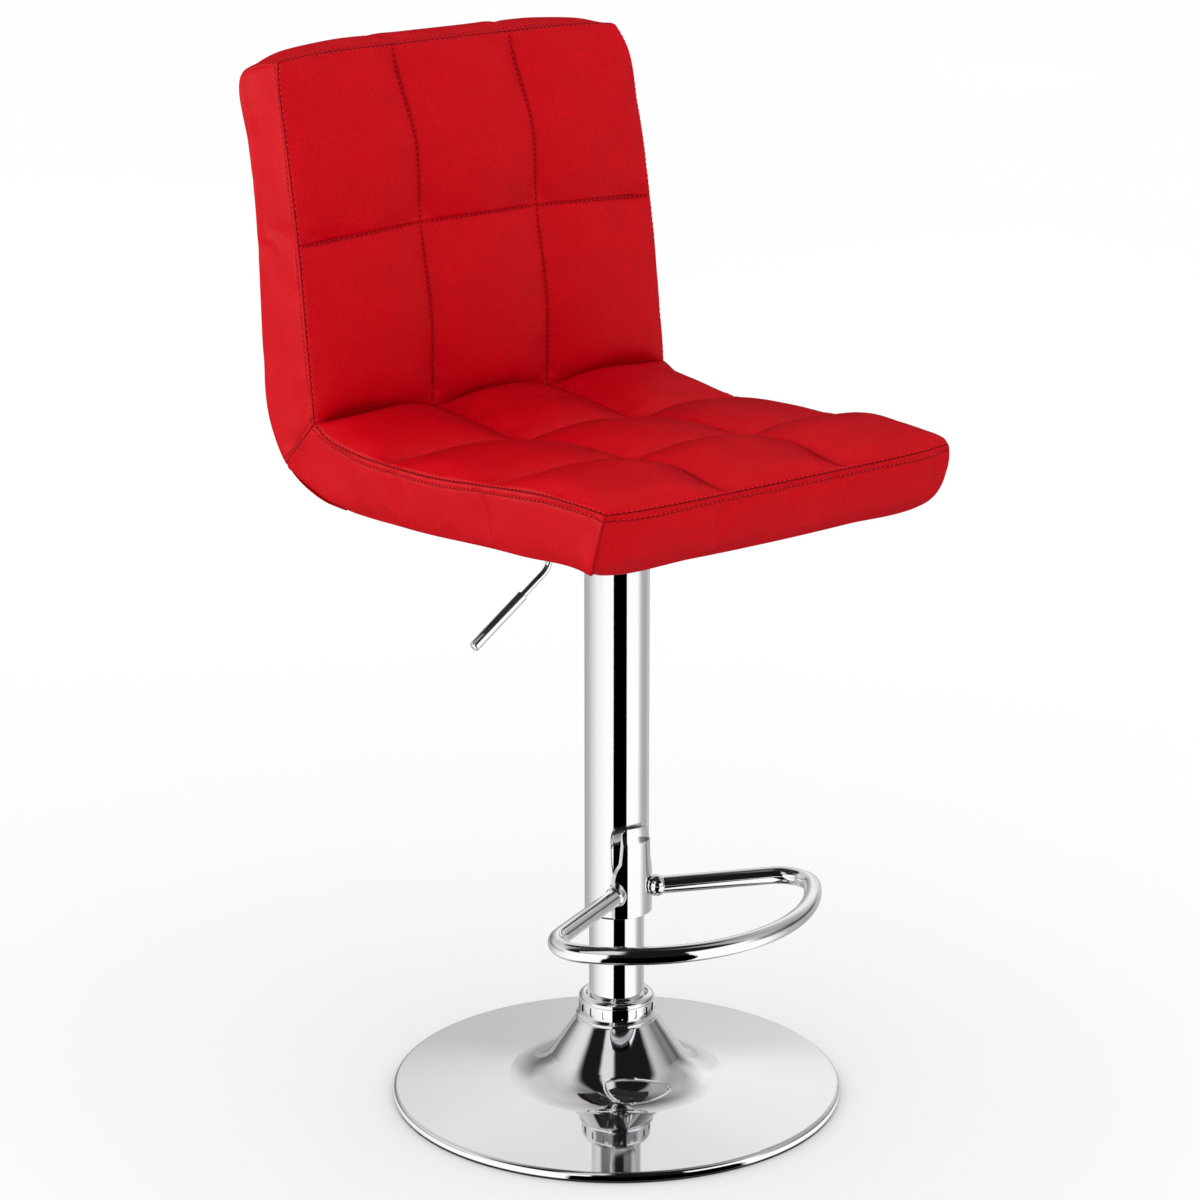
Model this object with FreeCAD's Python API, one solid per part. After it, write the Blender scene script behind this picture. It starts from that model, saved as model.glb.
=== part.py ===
"""Adjustable swivel bar stool: a quilted seat and back on a gas lift, with a footrest and a trumpet base.

Frame: millimetres, +Z up, origin on the floor at the column's axis.
The front of the stool faces -Y and the release lever is on the -X side.
Everything is shown at the height of the rest pose, which is between the lift's two stops.
"""
import FreeCAD
import Part

import math
import os

V = FreeCAD.Vector
UP = V(0, 0, 1)

# ---------------------------------------------------------------- driving dimensions
# base
BASE_R = 205.0              # outer radius of the trumpet base
BASE_SHEET = 1.6            # spun sheet thickness
RIM_BOTTOM = 2.6            # height of the sheet's lower edge above the floor
RIM_TOP = 9.5               # height where the rolled rim meets the disc
RIM_ROLL = 4.0              # radius of the rolled rim
DISC_RISE = 0.075           # the disc's slope towards the middle
NECK_R = 37.0               # outer radius at the top of the flare
NECK_Z = 73.0
FLARE_SLOPE = 1.465         # drop of the flare for each unit of radius
FLARE_FILLET = 50.0         # the radius that joins flare and disc
BALLAST_R = 130.0
BALLAST_BOTTOM = 8.0
BALLAST_T = 5.0

# column
TUBE_R = 25.0               # fixed stand tube, outside
TUBE_WALL = 2.0
TUBE_TOP = 372.0
SLEEVE_R = 29.0             # cover sleeve that rises with the seat, outside
SLEEVE_WALL = 1.2
SLEEVE_BOTTOM = 178.5
SLEEVE_TOP = 503.0
CYLINDER_R = 14.0           # gas cylinder, outside
CYLINDER_WALL = 2.0
CYLINDER_BOTTOM = 200.0
ROD_R = 5.0
PISTON_Z = 352.0
TAPER_TOP = 533.0
TAPER_TOP_R = 13.2
RUN = 0.05                  # radial clearance of every running fit

# footrest
REST_Z = 202.0              # height of the loop's centre line
REST_TUBE_R = 8.0
REST_TUBE_WALL = 1.5
REST_ARC_R = 165.0          # centre line of the front arc
REST_ARC_Y = -18.5          # centre of the front arc
REST_CORNER_R = 29.0        # bend between an arm and the front arc
REST_ARM_START = (20.0, -26.0)
REST_ARM_TURN = 25.0        # degrees that an arm leans forwards from the X axis
SADDLE_T = 3.4              # the bracket's thickness over the sleeve
SADDLE_HALF_WIDTH = 21.5    # where the arms meet the bracket
TONGUE_HALF_WIDTH = 14.8    # near the bracket's top
SADDLE_TOP = 262.0

# seat mechanism
PLATE_X = 190.0
PLATE_Y = 150.0
PLATE_T = 2.5
PLATE_RIM = 8.0
HUB_R = 20.0
BOLT_X = 70.0
BOLT_Y = 55.0
BOLT_R = 3.0
LEVER_R = 3.0
LEVER_Z = 542.0             # height of the lever's horizontal run
PIVOT_X = -27.0
PIVOT_R = 1.5
HANDLE_R = 4.7
HANDLE_LENGTH = 66.0
PIN_R = 4.0
PIN_TOP = LEVER_Z - LEVER_R - 0.02

# upholstery
SEAT_HALF_WIDTH = 197.0
COVER_T = 1.2
SHELL_T = 12.0              # moulded plywood
SHELL_HALF_WIDTH = 172.0
FRONT_BOTTOM = (-206.0, 569.0)
FRONT_TOP = (-222.0, 629.0)
SEAT_CROWN = (-20.0, 636.0)
CREASE = (176.0, 622.0)
BACK_BULGE = (186.0, 779.0)
BACK_TOP_FRONT = (227.0, 939.0)
TOP_CROWN = (255.0, 946.0)
BACK_TOP_REAR = (284.0, 921.0)
REAR_TOP = (290.0, 907.0)
REAR_MIDDLE = (264.0, 778.0)
REAR_LOW = (257.0, 640.0)
REAR_BEND = (240.0, 592.0)
BEND_END = (190.0, 556.5)
UNDERSIDE_REAR = (150.0, 551.0)
MITRE_END = (224.0, 573.0)  # lower end of the side panels' mitre seam

UNDERSIDE_SLOPE = (UNDERSIDE_REAR[1] - FRONT_BOTTOM[1]) / (UNDERSIDE_REAR[0] - FRONT_BOTTOM[0])
UNDERSIDE_TILT = math.degrees(math.atan(UNDERSIDE_SLOPE))
UNDERSIDE_Z = FRONT_BOTTOM[1] - UNDERSIDE_SLOPE * FRONT_BOTTOM[0]

parts = {}


# ---------------------------------------------------------------- helpers
def cylinder(r, z0, z1, x=0.0, y=0.0):
    return Part.makeCylinder(r, z1 - z0, V(x, y, z0), UP)


def ring(r_in, r_out, z0, z1):
    return cylinder(r_out, z0, z1).cut(cylinder(r_in, z0 - 1, z1 + 1))


def box(x0, x1, y0, y1, z0, z1):
    return Part.makeBox(x1 - x0, y1 - y0, z1 - z0, V(x0, y0, z0))


def revolve(points):
    """Solid of revolution about Z from a closed (r, z) outline; see wire_of."""
    return Part.Face(wire_of(points, lambda r, z: V(r, 0, z))).revolve(V(0, 0, 0), UP, 360)


def wire_of(points, place):
    """Closed wire: (a, b) draws a line to that point, (a, b, c, d) an arc through (a, b) to (c, d)."""
    edges = []
    start = place(*points[0])
    here = start
    for step in list(points[1:]) + [points[0]]:
        if len(step) == 4:
            end = place(step[2], step[3])
            edges.append(Part.Arc(here, place(step[0], step[1]), end).toShape())
        else:
            end = place(*step)
            edges.append(Part.LineSegment(here, end).toShape())
        here = end
    return Part.Wire(edges)


def tangent_path(points, radii):
    """Straight runs through the points, joined by arcs of the given radii at the inner points."""
    edges = []
    here = points[0]
    for i in range(1, len(points) - 1):
        before = (points[i] - points[i - 1]).normalize()
        after = (points[i + 1] - points[i]).normalize()
        turn = before.getAngle(after)
        cut = radii[i - 1] * math.tan(turn / 2)
        arc_start = points[i] - before * cut
        arc_end = points[i] + after * cut
        inward = (after - before).normalize()
        reach = radii[i - 1] * (1 / math.cos(turn / 2) - 1)
        edges.append(Part.LineSegment(here, arc_start).toShape())
        edges.append(Part.Arc(arc_start, points[i] + inward * reach, arc_end).toShape())
        here = arc_end
    edges.append(Part.LineSegment(here, points[-1]).toShape())
    return Part.Wire(edges)


def sweep_round(path, r):
    start = path.Edges[0]
    direction = start.tangentAt(start.FirstParameter)
    profile = Part.Wire(Part.Circle(start.valueAt(start.FirstParameter), direction, r).toShape())
    return path.makePipeShell([profile], True, False)


def hexagon(across_flats, z0, z1, x, y):
    r = across_flats / math.sqrt(3)
    turns = [math.radians(60 * i) for i in range(6)]
    corners = [V(x + r * math.cos(a), y + r * math.sin(a), z0) for a in turns]
    return Part.Face(Part.makePolygon(corners + [corners[0]])).extrude(V(0, 0, z1 - z0))


def group(solids):
    return Part.makeCompound(solids)


def tilted(shape):
    """Lays a shape that is drawn with its top at z = 0 against the seat's sloping underside."""
    shape = shape.copy()
    shape.rotate(V(0, 0, 0), V(1, 0, 0), UNDERSIDE_TILT)
    shape.translate(V(0, 0, UNDERSIDE_Z))
    return shape


# ---------------------------------------------------------------- base
def flare_points(inset):
    """Where the flare and the disc leave their joining arc, for the outer face moved in by inset."""
    lean = math.hypot(1, FLARE_SLOPE)
    flat = math.hypot(1, DISC_RISE)
    disc_z = RIM_TOP - inset * flat
    neck_r = NECK_R - inset * lean / FLARE_SLOPE
    disc_r = BASE_R - RIM_ROLL
    corner_r = (NECK_Z - disc_z + FLARE_SLOPE * neck_r - DISC_RISE * disc_r) / (FLARE_SLOPE - DISC_RISE)
    corner_z = disc_z + DISC_RISE * (disc_r - corner_r)
    radius = FLARE_FILLET + inset
    up = V(-1 / lean, 0, FLARE_SLOPE / lean)
    out = V(1 / flat, 0, -DISC_RISE / flat)
    turn = math.pi - up.getAngle(out)
    corner = V(corner_r, 0, corner_z)
    on_flare = corner + up * (radius * math.tan(turn / 2))
    on_disc = corner + out * (radius * math.tan(turn / 2))
    middle = corner + (up + out).normalize() * (radius * (1 / math.cos(turn / 2) - 1))
    return neck_r, on_flare, middle, on_disc, disc_z


def base_pan():
    neck_r, flare, middle, disc, disc_z = flare_points(0)
    in_neck, in_flare, in_middle, in_disc, in_disc_z = flare_points(BASE_SHEET)
    roll_r = BASE_R - RIM_ROLL
    roll_z = disc_z - RIM_ROLL
    in_roll = RIM_ROLL - BASE_SHEET
    bend = math.sqrt(0.5)
    outline = [
        (TUBE_R, NECK_Z + BASE_SHEET),
        (neck_r - BASE_SHEET, NECK_Z + BASE_SHEET),
        (neck_r, NECK_Z),
        (flare.x, flare.z),
        (middle.x, middle.z, disc.x, disc.z),
        (roll_r, disc_z),
        (roll_r + RIM_ROLL * bend, roll_z + RIM_ROLL * bend, BASE_R, roll_z),
        (BASE_R, RIM_BOTTOM),
        (BASE_R - BASE_SHEET, RIM_BOTTOM),
        (BASE_R - BASE_SHEET, roll_z),
        (roll_r + in_roll * bend, roll_z + in_roll * bend, roll_r, in_disc_z),
        (in_disc.x, in_disc.z),
        (in_middle.x, in_middle.z, in_flare.x, in_flare.z),
        (in_neck, NECK_Z),
        (TUBE_R, NECK_Z),
    ]
    return revolve(outline)


def base_floor_ring():
    inner = BASE_R - 8.0
    lip = BASE_R - BASE_SHEET - 0.1
    lip_top = 6.0
    return revolve([
        (inner, 0),
        (BASE_R - 1.2, 0),
        (BASE_R - 0.7, 0.6),
        (BASE_R - 0.7, RIM_BOTTOM),
        (lip, RIM_BOTTOM),
        (lip, lip_top),
        (inner, lip_top),
    ])


BALLAST_TOP = BALLAST_BOTTOM + BALLAST_T
COLUMN_BOLTS = [(16.0 * math.cos(math.radians(a)), 16.0 * math.sin(math.radians(a))) for a in (90, 210, 330)]
COLUMN_BOLT_TIP = BALLAST_TOP + 6.0


def base_ballast_plate():
    plate = ring(12.0, BALLAST_R, BALLAST_BOTTOM, BALLAST_TOP)
    for x, y in COLUMN_BOLTS:
        plate = plate.cut(cylinder(BOLT_R + 0.3, BALLAST_BOTTOM - 1, BALLAST_TOP + 1, x, y))
    return plate


def column_bolts():
    bolts = []
    for x, y in COLUMN_BOLTS:
        head = hexagon(10.0, BALLAST_BOTTOM - 4.0, BALLAST_BOTTOM, x, y)
        bolts.append(head.fuse(cylinder(BOLT_R, BALLAST_BOTTOM, COLUMN_BOLT_TIP, x, y)).removeSplitter())
    return group(bolts)


def column_socket():
    """Heavy tube welded to the ballast plate; it holds the stand tube upright under the flare."""
    return ring(TUBE_R, TUBE_R + 4.0, BALLAST_TOP, NECK_Z)


def base_collar():
    bottom = NECK_Z + BASE_SHEET
    body = revolve([
        (TUBE_R, bottom),
        (NECK_R - 1.0, bottom),
        (NECK_R + 0.1, bottom + 1.0, NECK_R - 0.8, bottom + 2.6),
        (34.2, bottom + 4.6),
        (34.2, 91.0),
        (33.6, 94.8, 30.6, 96.8),
        (29.0, 97.0, 27.6, 96.0),
        (26.2, 94.2),
        (26.2, 92.0),
        (TUBE_R, 92.0),
    ])
    notch_count = 16
    notch = box(-2.8, 2.8, 33.2, 40.0, 81.2, 90.0)
    notch = notch.makeFillet(1.6, [e for e in notch.Edges if abs(e.tangentAt(e.FirstParameter).y) > 0.9])
    for i in range(notch_count):
        cutter = notch.copy()
        cutter.rotate(V(0, 0, 0), UP, (i + 0.5) * 360 / notch_count)
        body = body.cut(cutter)
    return body


# ---------------------------------------------------------------- column, fixed part
TUBE_BORE = TUBE_R - TUBE_WALL
TUBE_PLATE_TOP = BALLAST_TOP + 8.0
WASHER_T = 1.5
BALL_R = 2.0
BALL_CIRCLE = 8.0
SPIGOT_R = 4.0
LOWER_WASHER_TOP = TUBE_PLATE_TOP + WASHER_T
UPPER_WASHER_BOTTOM = LOWER_WASHER_TOP + 2 * BALL_R + RUN
SHOULDER_Z = UPPER_WASHER_BOTTOM + WASHER_T
BUSH_BOTTOM = 292.0


def stand_tube():
    return ring(TUBE_BORE, TUBE_R, BALLAST_TOP, TUBE_TOP)


def tube_base_plate():
    plate = ring(SPIGOT_R + RUN, TUBE_BORE, BALLAST_TOP, TUBE_PLATE_TOP)
    for x, y in COLUMN_BOLTS:
        plate = plate.cut(cylinder(BOLT_R, BALLAST_TOP - 1, COLUMN_BOLT_TIP, x, y))
    return plate


def guide_bush():
    return revolve([
        (CYLINDER_R + RUN, BUSH_BOTTOM),
        (TUBE_BORE, BUSH_BOTTOM),
        (TUBE_BORE, TUBE_TOP),
        (TUBE_R, TUBE_TOP),
        (TUBE_R, TUBE_TOP + 2.0),
        (TUBE_R - 1.0, TUBE_TOP + 3.0),
        (CYLINDER_R + RUN, TUBE_TOP + 3.0),
    ])


def thrust_balls():
    ball_count = 8
    balls = []
    for i in range(ball_count):
        a = 2 * math.pi * i / ball_count
        centre = V(BALL_CIRCLE * math.cos(a), BALL_CIRCLE * math.sin(a), LOWER_WASHER_TOP + BALL_R)
        balls.append(Part.makeSphere(BALL_R, centre))
    return group(balls)


# ---------------------------------------------------------------- column, piston rod
CLIP_TOP = BALLAST_TOP - 1.0
CLIP_T = 1.2
PISTON_T = 10.0
BORE_R = CYLINDER_R - CYLINDER_WALL
SEAL_Z = PISTON_Z + 3.5
SEAL_T = 3.0
SEAL_DEPTH = 2.5


def piston_rod():
    rod = cylinder(ROD_R, SHOULDER_Z, PISTON_Z)
    spigot = cylinder(SPIGOT_R, CLIP_TOP - CLIP_T - 1.5, SHOULDER_Z)
    groove = ring(SPIGOT_R - 0.8, SPIGOT_R + 1, CLIP_TOP - CLIP_T, CLIP_TOP)
    return rod.fuse(spigot).removeSplitter().cut(groove)


def rod_clip():
    clip = ring(SPIGOT_R - 0.8, SPIGOT_R + 3.5, CLIP_TOP - CLIP_T, CLIP_TOP)
    return clip.cut(box(0, 10, -2.2, 2.2, CLIP_TOP - CLIP_T - 1, CLIP_TOP + 1))


def piston():
    body = cylinder(BORE_R - RUN, PISTON_Z, PISTON_Z + PISTON_T)
    return body.cut(ring(BORE_R - SEAL_DEPTH, BORE_R + 1, SEAL_Z, SEAL_Z + SEAL_T))


# ---------------------------------------------------------------- column, rising part
GLAND_TOP = CYLINDER_BOTTOM + 16.0
GLAND_SEAL_T = 4.0
CAP_TOP = SLEEVE_TOP + 3.0
PIN_BORE_BOTTOM = 508.0
PIN_BOTTOM = 515.0
GLIDE_T = 36.0


def gas_cylinder():
    return ring(BORE_R, CYLINDER_R, CYLINDER_BOTTOM, CAP_TOP - 6.0)


def cylinder_gland():
    return ring(ROD_R + RUN, BORE_R, CYLINDER_BOTTOM, GLAND_TOP)


def gland_seal():
    return ring(ROD_R + RUN, BORE_R, GLAND_TOP, GLAND_TOP + GLAND_SEAL_T)


def cylinder_taper():
    """Valve head: it closes the cylinder, and its cone carries the seat's hub."""
    shoulder = CAP_TOP - 6.0
    return revolve([
        (0, shoulder - 12.0),
        (BORE_R, shoulder - 12.0),
        (BORE_R, shoulder),
        (CYLINDER_R, shoulder),
        (CYLINDER_R, CAP_TOP),
        (TAPER_TOP_R, TAPER_TOP),
        (PIN_R + RUN, TAPER_TOP),
        (PIN_R + RUN, PIN_BORE_BOTTOM),
        (0, PIN_BORE_BOTTOM),
    ])


def release_pin():
    body = cylinder(PIN_R, PIN_BOTTOM, PIN_TOP - PIN_R)
    return body.fuse(Part.makeSphere(PIN_R, V(0, 0, PIN_TOP - PIN_R))).removeSplitter()


def column_sleeve():
    return ring(SLEEVE_R - SLEEVE_WALL, SLEEVE_R, SLEEVE_BOTTOM, SLEEVE_TOP)


def sleeve_glide_bush():
    """Plastic bush that guides the sleeve on the stand tube; its lip shows below the sleeve."""
    lip = 1.8
    return revolve([
        (TUBE_R + RUN, SLEEVE_BOTTOM - lip),
        (SLEEVE_R - 0.5, SLEEVE_BOTTOM - lip),
        (SLEEVE_R - 0.5, SLEEVE_BOTTOM),
        (SLEEVE_R - SLEEVE_WALL, SLEEVE_BOTTOM),
        (SLEEVE_R - SLEEVE_WALL, SLEEVE_BOTTOM + GLIDE_T),
        (TUBE_R + RUN, SLEEVE_BOTTOM + GLIDE_T),
    ])


def sleeve_top_cap():
    """Stepped disc that hangs the sleeve from the cylinder, just under the hub."""
    skirt = 12.0
    return revolve([
        (CYLINDER_R, SLEEVE_TOP - 3.0),
        (SLEEVE_R - SLEEVE_WALL - 3.0, SLEEVE_TOP - 3.0),
        (SLEEVE_R - SLEEVE_WALL - 3.0, SLEEVE_TOP - skirt),
        (SLEEVE_R - SLEEVE_WALL, SLEEVE_TOP - skirt),
        (SLEEVE_R - SLEEVE_WALL, SLEEVE_TOP),
        (SLEEVE_R, SLEEVE_TOP),
        (SLEEVE_R - 1.0, CAP_TOP),
        (CYLINDER_R, CAP_TOP),
    ])


# ---------------------------------------------------------------- footrest
def footrest_path():
    turn = math.radians(REST_ARM_TURN)
    along = V(math.cos(turn), -math.sin(turn), 0)
    inward = V(-math.sin(turn), -math.cos(turn), 0)
    start = V(REST_ARM_START[0], REST_ARM_START[1], REST_Z)
    arc_centre = V(0, REST_ARC_Y, REST_Z)
    # the corner's centre lies one corner radius inside both the arm's line and the front arc
    offset = start + inward * REST_CORNER_R - arc_centre
    reach = REST_ARC_R - REST_CORNER_R
    b = offset.dot(along)
    t = -b + math.sqrt(b * b - offset.dot(offset) + reach * reach)
    corner = start + along * t + inward * REST_CORNER_R
    arm_end = start + along * t
    arc_start = arc_centre + (corner - arc_centre).normalize() * REST_ARC_R
    middle = corner + ((arm_end - corner) + (arc_start - corner)).normalize() * REST_CORNER_R
    front = V(0, REST_ARC_Y - REST_ARC_R, REST_Z)

    def mirrored(p):
        return V(-p.x, p.y, p.z)

    return Part.Wire([
        Part.LineSegment(start, arm_end).toShape(),
        Part.Arc(arm_end, middle, arc_start).toShape(),
        Part.Arc(arc_start, front, mirrored(arc_start)).toShape(),
        Part.Arc(mirrored(arc_start), mirrored(middle), mirrored(arm_end)).toShape(),
        Part.LineSegment(mirrored(arm_end), mirrored(start)).toShape(),
    ])


SADDLE_R = SLEEVE_R + SADDLE_T


def footrest_bracket():
    """Pressed saddle on the sleeve's front: wide where the arms meet it, with a narrower tongue above."""
    body = ring(SLEEVE_R, SADDLE_R, SLEEVE_BOTTOM, SADDLE_TOP)
    wide = SADDLE_HALF_WIDTH
    narrow = TONGUE_HALF_WIDTH
    waist = (wide + narrow) / 2 - 1.5
    shoulder_z = 212.0
    waist_z = 230.0
    outline = [
        (-wide, SLEEVE_BOTTOM - 1),
        (wide, SLEEVE_BOTTOM - 1),
        (wide, shoulder_z),
        (wide - 1.0, (shoulder_z + waist_z) / 2, waist, waist_z),
        (narrow + 0.7, waist_z + 14, narrow, SADDLE_TOP - 5),
        (narrow - 1.5, SADDLE_TOP - 1.5, narrow - 5, SADDLE_TOP),
        (-narrow + 5, SADDLE_TOP),
        (-narrow + 1.5, SADDLE_TOP - 1.5, -narrow, SADDLE_TOP - 5),
        (-narrow - 0.7, waist_z + 14, -waist, waist_z),
        (-wide + 1.0, (shoulder_z + waist_z) / 2, -wide, shoulder_z),
    ]
    front = Part.Face(wire_of(outline, lambda x, z: V(x, -SADDLE_R - 5, z))).extrude(V(0, SADDLE_R + 5, 0))
    body = body.common(front)
    # the tongue's top end is beaten back onto the sleeve as a hollow shoulder
    shoulder = revolve([
        (SLEEVE_R + 0.8, SADDLE_TOP + 1),
        (SLEEVE_R + 1.4, SADDLE_TOP - 6.5, SADDLE_R + 0.2, SADDLE_TOP - 14),
        (SADDLE_R + 4, SADDLE_TOP - 14),
        (SADDLE_R + 4, SADDLE_TOP + 1),
    ])
    return body.cut(shoulder)


def footrest_loop():
    path = footrest_path()
    tube = sweep_round(path, REST_TUBE_R).cut(sweep_round(path, REST_TUBE_R - REST_TUBE_WALL))
    return tube.cut(cylinder(SADDLE_R, 0, SLEEVE_TOP))


def footrest_welds():
    """Weld beads round the two arm ends."""
    bead_r = REST_TUBE_R + 1.9
    arm = sweep_round(footrest_path(), REST_TUBE_R)
    beads = []
    for side in (1, -1):
        turn = math.radians(REST_ARM_TURN)
        x = REST_ARM_START[0] + 4.0 * math.cos(turn)
        y = REST_ARM_START[1] - 4.0 * math.sin(turn)
        bead = Part.makeSphere(bead_r, V(side * x, y, REST_Z))
        beads.append(bead.cut(cylinder(SADDLE_R, 0, SLEEVE_TOP)).cut(arm))
    return group([s for bead in beads for s in bead.Solids])


# ---------------------------------------------------------------- seat mechanism
def seat_plate():
    """Pressed pan, bolted under the seat with its rim turned down."""
    outer = box(-PLATE_X / 2, PLATE_X / 2, -PLATE_Y / 2, PLATE_Y / 2, -PLATE_RIM, 0)
    outer = outer.makeFillet(18.0, upright_edges(outer))
    inner = box(-PLATE_X / 2 + PLATE_T, PLATE_X / 2 - PLATE_T, -PLATE_Y / 2 + PLATE_T, PLATE_Y / 2 - PLATE_T,
                -PLATE_RIM - 1, -PLATE_T)
    inner = inner.makeFillet(18.0 - PLATE_T, upright_edges(inner))
    plate = outer.cut(inner)
    for x, y in bolt_places():
        plate = plate.cut(cylinder(BOLT_R + 0.3, -PLATE_RIM - 1, 1, x, y))
    return tilted(plate)


def upright_edges(shape):
    return [e for e in shape.Edges if abs(e.tangentAt(e.FirstParameter).z) > 0.9]


def bolt_places():
    return [(sx * BOLT_X, sy * BOLT_Y) for sx in (1, -1) for sy in (1, -1)]


def plate_hub():
    """Tapered socket that sits on the gas cylinder's cone, welded under the plate."""
    body = cylinder(HUB_R, CAP_TOP, UNDERSIDE_Z + 10)
    above = tilted(box(-60, 60, -60, 60, -PLATE_T, 40))
    socket = Part.makeCone(CYLINDER_R, TAPER_TOP_R, TAPER_TOP - CAP_TOP, V(0, 0, CAP_TOP), UP)
    cavity = cylinder(12.0, TAPER_TOP, UNDERSIDE_Z + 10)
    slot = box(-HUB_R - 1, -8, -3.8, 3.8, TAPER_TOP + 1, LEVER_Z + 10)
    return body.cut(above).cut(socket).cut(cavity).cut(slot)


EAR_IN = 4.4
EAR_OUT = 6.9


def along_y(r, x, z, y0, y1):
    return Part.makeCylinder(r, y1 - y0, V(x, y0, z), V(0, 1, 0))


def lever_bracket():
    """Two ears welded to the hub; the lever tilts between them."""
    ears = []
    for y0, y1 in ((EAR_IN, EAR_OUT), (-EAR_OUT, -EAR_IN)):
        ear = box(PIVOT_X, -10, y0, y1, LEVER_Z - 7, LEVER_Z + 7)
        ear = ear.fuse(along_y(7, PIVOT_X, LEVER_Z, y0, y1)).removeSplitter()
        ear = ear.cut(along_y(PIVOT_R, PIVOT_X, LEVER_Z, y0 - 1, y1 + 1))
        ears.append(ear.cut(cylinder(HUB_R, CAP_TOP, UNDERSIDE_Z + 20)))
    return group(ears)


def lever_pivot_pin():
    pin = along_y(PIVOT_R, PIVOT_X, LEVER_Z, -EAR_OUT, EAR_OUT)
    for y0, y1 in ((EAR_OUT, EAR_OUT + 1.4), (-EAR_OUT - 1.4, -EAR_OUT)):
        pin = pin.fuse(along_y(PIVOT_R + 1.2, PIVOT_X, LEVER_Z, y0, y1))
    return pin.removeSplitter()


LEVER_TIP = V(-159.2, 0, 454.7)
LEVER_KNEE = V(-77.5, 0, 511.0)


def lever_path():
    inner = V(3.0, 0, LEVER_Z)
    elbow = V(-69.0, 0, LEVER_Z)
    tip = LEVER_TIP - (LEVER_TIP - LEVER_KNEE).normalize() * 6.0
    return tangent_path([inner, elbow, LEVER_KNEE, tip], [10.0, 16.0])


def lever_rod():
    rod = sweep_round(lever_path(), LEVER_R)
    return rod.cut(along_y(PIVOT_R + RUN, PIVOT_X, LEVER_Z, -10, 10))


def lever_handle():
    """Chrome sleeve over the rod's outer end, with a rounded tip."""
    along = (LEVER_TIP - LEVER_KNEE).normalize()
    root = LEVER_TIP - along * HANDLE_LENGTH
    round_r = 2.6
    body = Part.makeCylinder(HANDLE_R, HANDLE_LENGTH, root, along)
    tip_edges = [e for e in body.Edges if (e.CenterOfMass - LEVER_TIP).Length < 1.0]
    root_edges = [e for e in body.Edges if (e.CenterOfMass - root).Length < 1.0]
    body = body.makeFillet(round_r, tip_edges).makeFillet(0.6, root_edges)
    return body.cut(Part.makeCylinder(LEVER_R, HANDLE_LENGTH - 6.0, root, along))


def tilted_group(solids):
    return group([tilted(s) for s in solids])


WASHER_UNDER = 1.2
BOLT_LENGTH = 18.0


def seat_bolts():
    bolts = []
    for x, y in bolt_places():
        head_top = -PLATE_T - WASHER_UNDER
        head = hexagon(10.0, head_top - 4.0, head_top, x, y)
        bolts.append(head.fuse(cylinder(BOLT_R, head_top, BOLT_LENGTH, x, y)).removeSplitter())
    return tilted_group(bolts)


def seat_washers():
    washers = []
    for x, y in bolt_places():
        disc = cylinder(6.5, -PLATE_T - WASHER_UNDER, -PLATE_T, x, y)
        washers.append(disc.cut(cylinder(BOLT_R, -10, 10, x, y)))
    return tilted_group(washers)


NUT_BARREL_R = 4.0
NUT_FLANGE_R = 9.0
NUT_FLANGE_T = 1.4
SHELL_TOP = COVER_T + SHELL_T


def tee_nut_solids(bore):
    nuts = []
    for x, y in bolt_places():
        barrel = cylinder(NUT_BARREL_R, COVER_T + 2.0, SHELL_TOP, x, y)
        flange = cylinder(NUT_FLANGE_R, SHELL_TOP, SHELL_TOP + NUT_FLANGE_T, x, y)
        nut = barrel.fuse(flange).removeSplitter()
        if bore:
            nut = nut.cut(cylinder(BOLT_R, -10, 40, x, y))
        nuts.append(nut)
    return nuts


def tee_nuts():
    return tilted_group(tee_nut_solids(True))


# ---------------------------------------------------------------- upholstered seat and back
def side_point(y, z, x=0.0):
    return V(x, y, z)


OUTER_PROFILE = [
    FRONT_BOTTOM,
    FRONT_TOP,
    SEAT_CROWN + CREASE,
    BACK_BULGE + BACK_TOP_FRONT,
    TOP_CROWN + BACK_TOP_REAR,
    REAR_TOP,
    REAR_MIDDLE + REAR_LOW,
    REAR_BEND + BEND_END,
    UNDERSIDE_REAR,
]


def profile_wire():
    return wire_of(OUTER_PROFILE, side_point)


def slab(wire, x0, x1):
    face = Part.Face(wire)
    face.translate(V(x0, 0, 0))
    return face.extrude(V(x1 - x0, 0, 0))


def polygon_slab(points, x0, x1):
    return slab(wire_of(points, side_point), x0, x1)


def bolt_clearances(r, z0, z1):
    return tilted_group([cylinder(r, z0, z1, x, y) for x, y in bolt_places()])


def seat_shell():
    """Moulded plywood: flat under the seat, bent up into the back."""
    inner_bend_r = 95.0
    slope = math.radians(UNDERSIDE_TILT)
    lift = COVER_T / math.cos(slope)

    def under(y, up):
        return (y, UNDERSIDE_Z + UNDERSIDE_SLOPE * y + lift + up / math.cos(slope))

    front = -188.0
    knee = V(0, *under(240.0, 0))
    path = [V(0, *under(front, 0)), knee, V(0, 247.0, 700.0), V(0, 268.0, 896.0)]
    low = tangent_path(path, [inner_bend_r + SHELL_T, 500.0])
    sheet = low.extrude(V(2 * SHELL_HALF_WIDTH, 0, 0))
    sheet.translate(V(-SHELL_HALF_WIDTH, 0, 0))
    solid = sheet.makeOffsetShape(SHELL_T, 0.01, fill=True)
    if solid.BoundBox.ZMin < low.BoundBox.ZMin - 1:
        solid = sheet.makeOffsetShape(-SHELL_T, 0.01, fill=True)
    solid = Part.Solid(solid.Shells[0])
    if solid.Volume < 0:
        solid.reverse()
    for x, y in bolt_places():
        solid = solid.cut(tilted(cylinder(NUT_BARREL_R, 0, 30, x, y)))
    return solid


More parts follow.
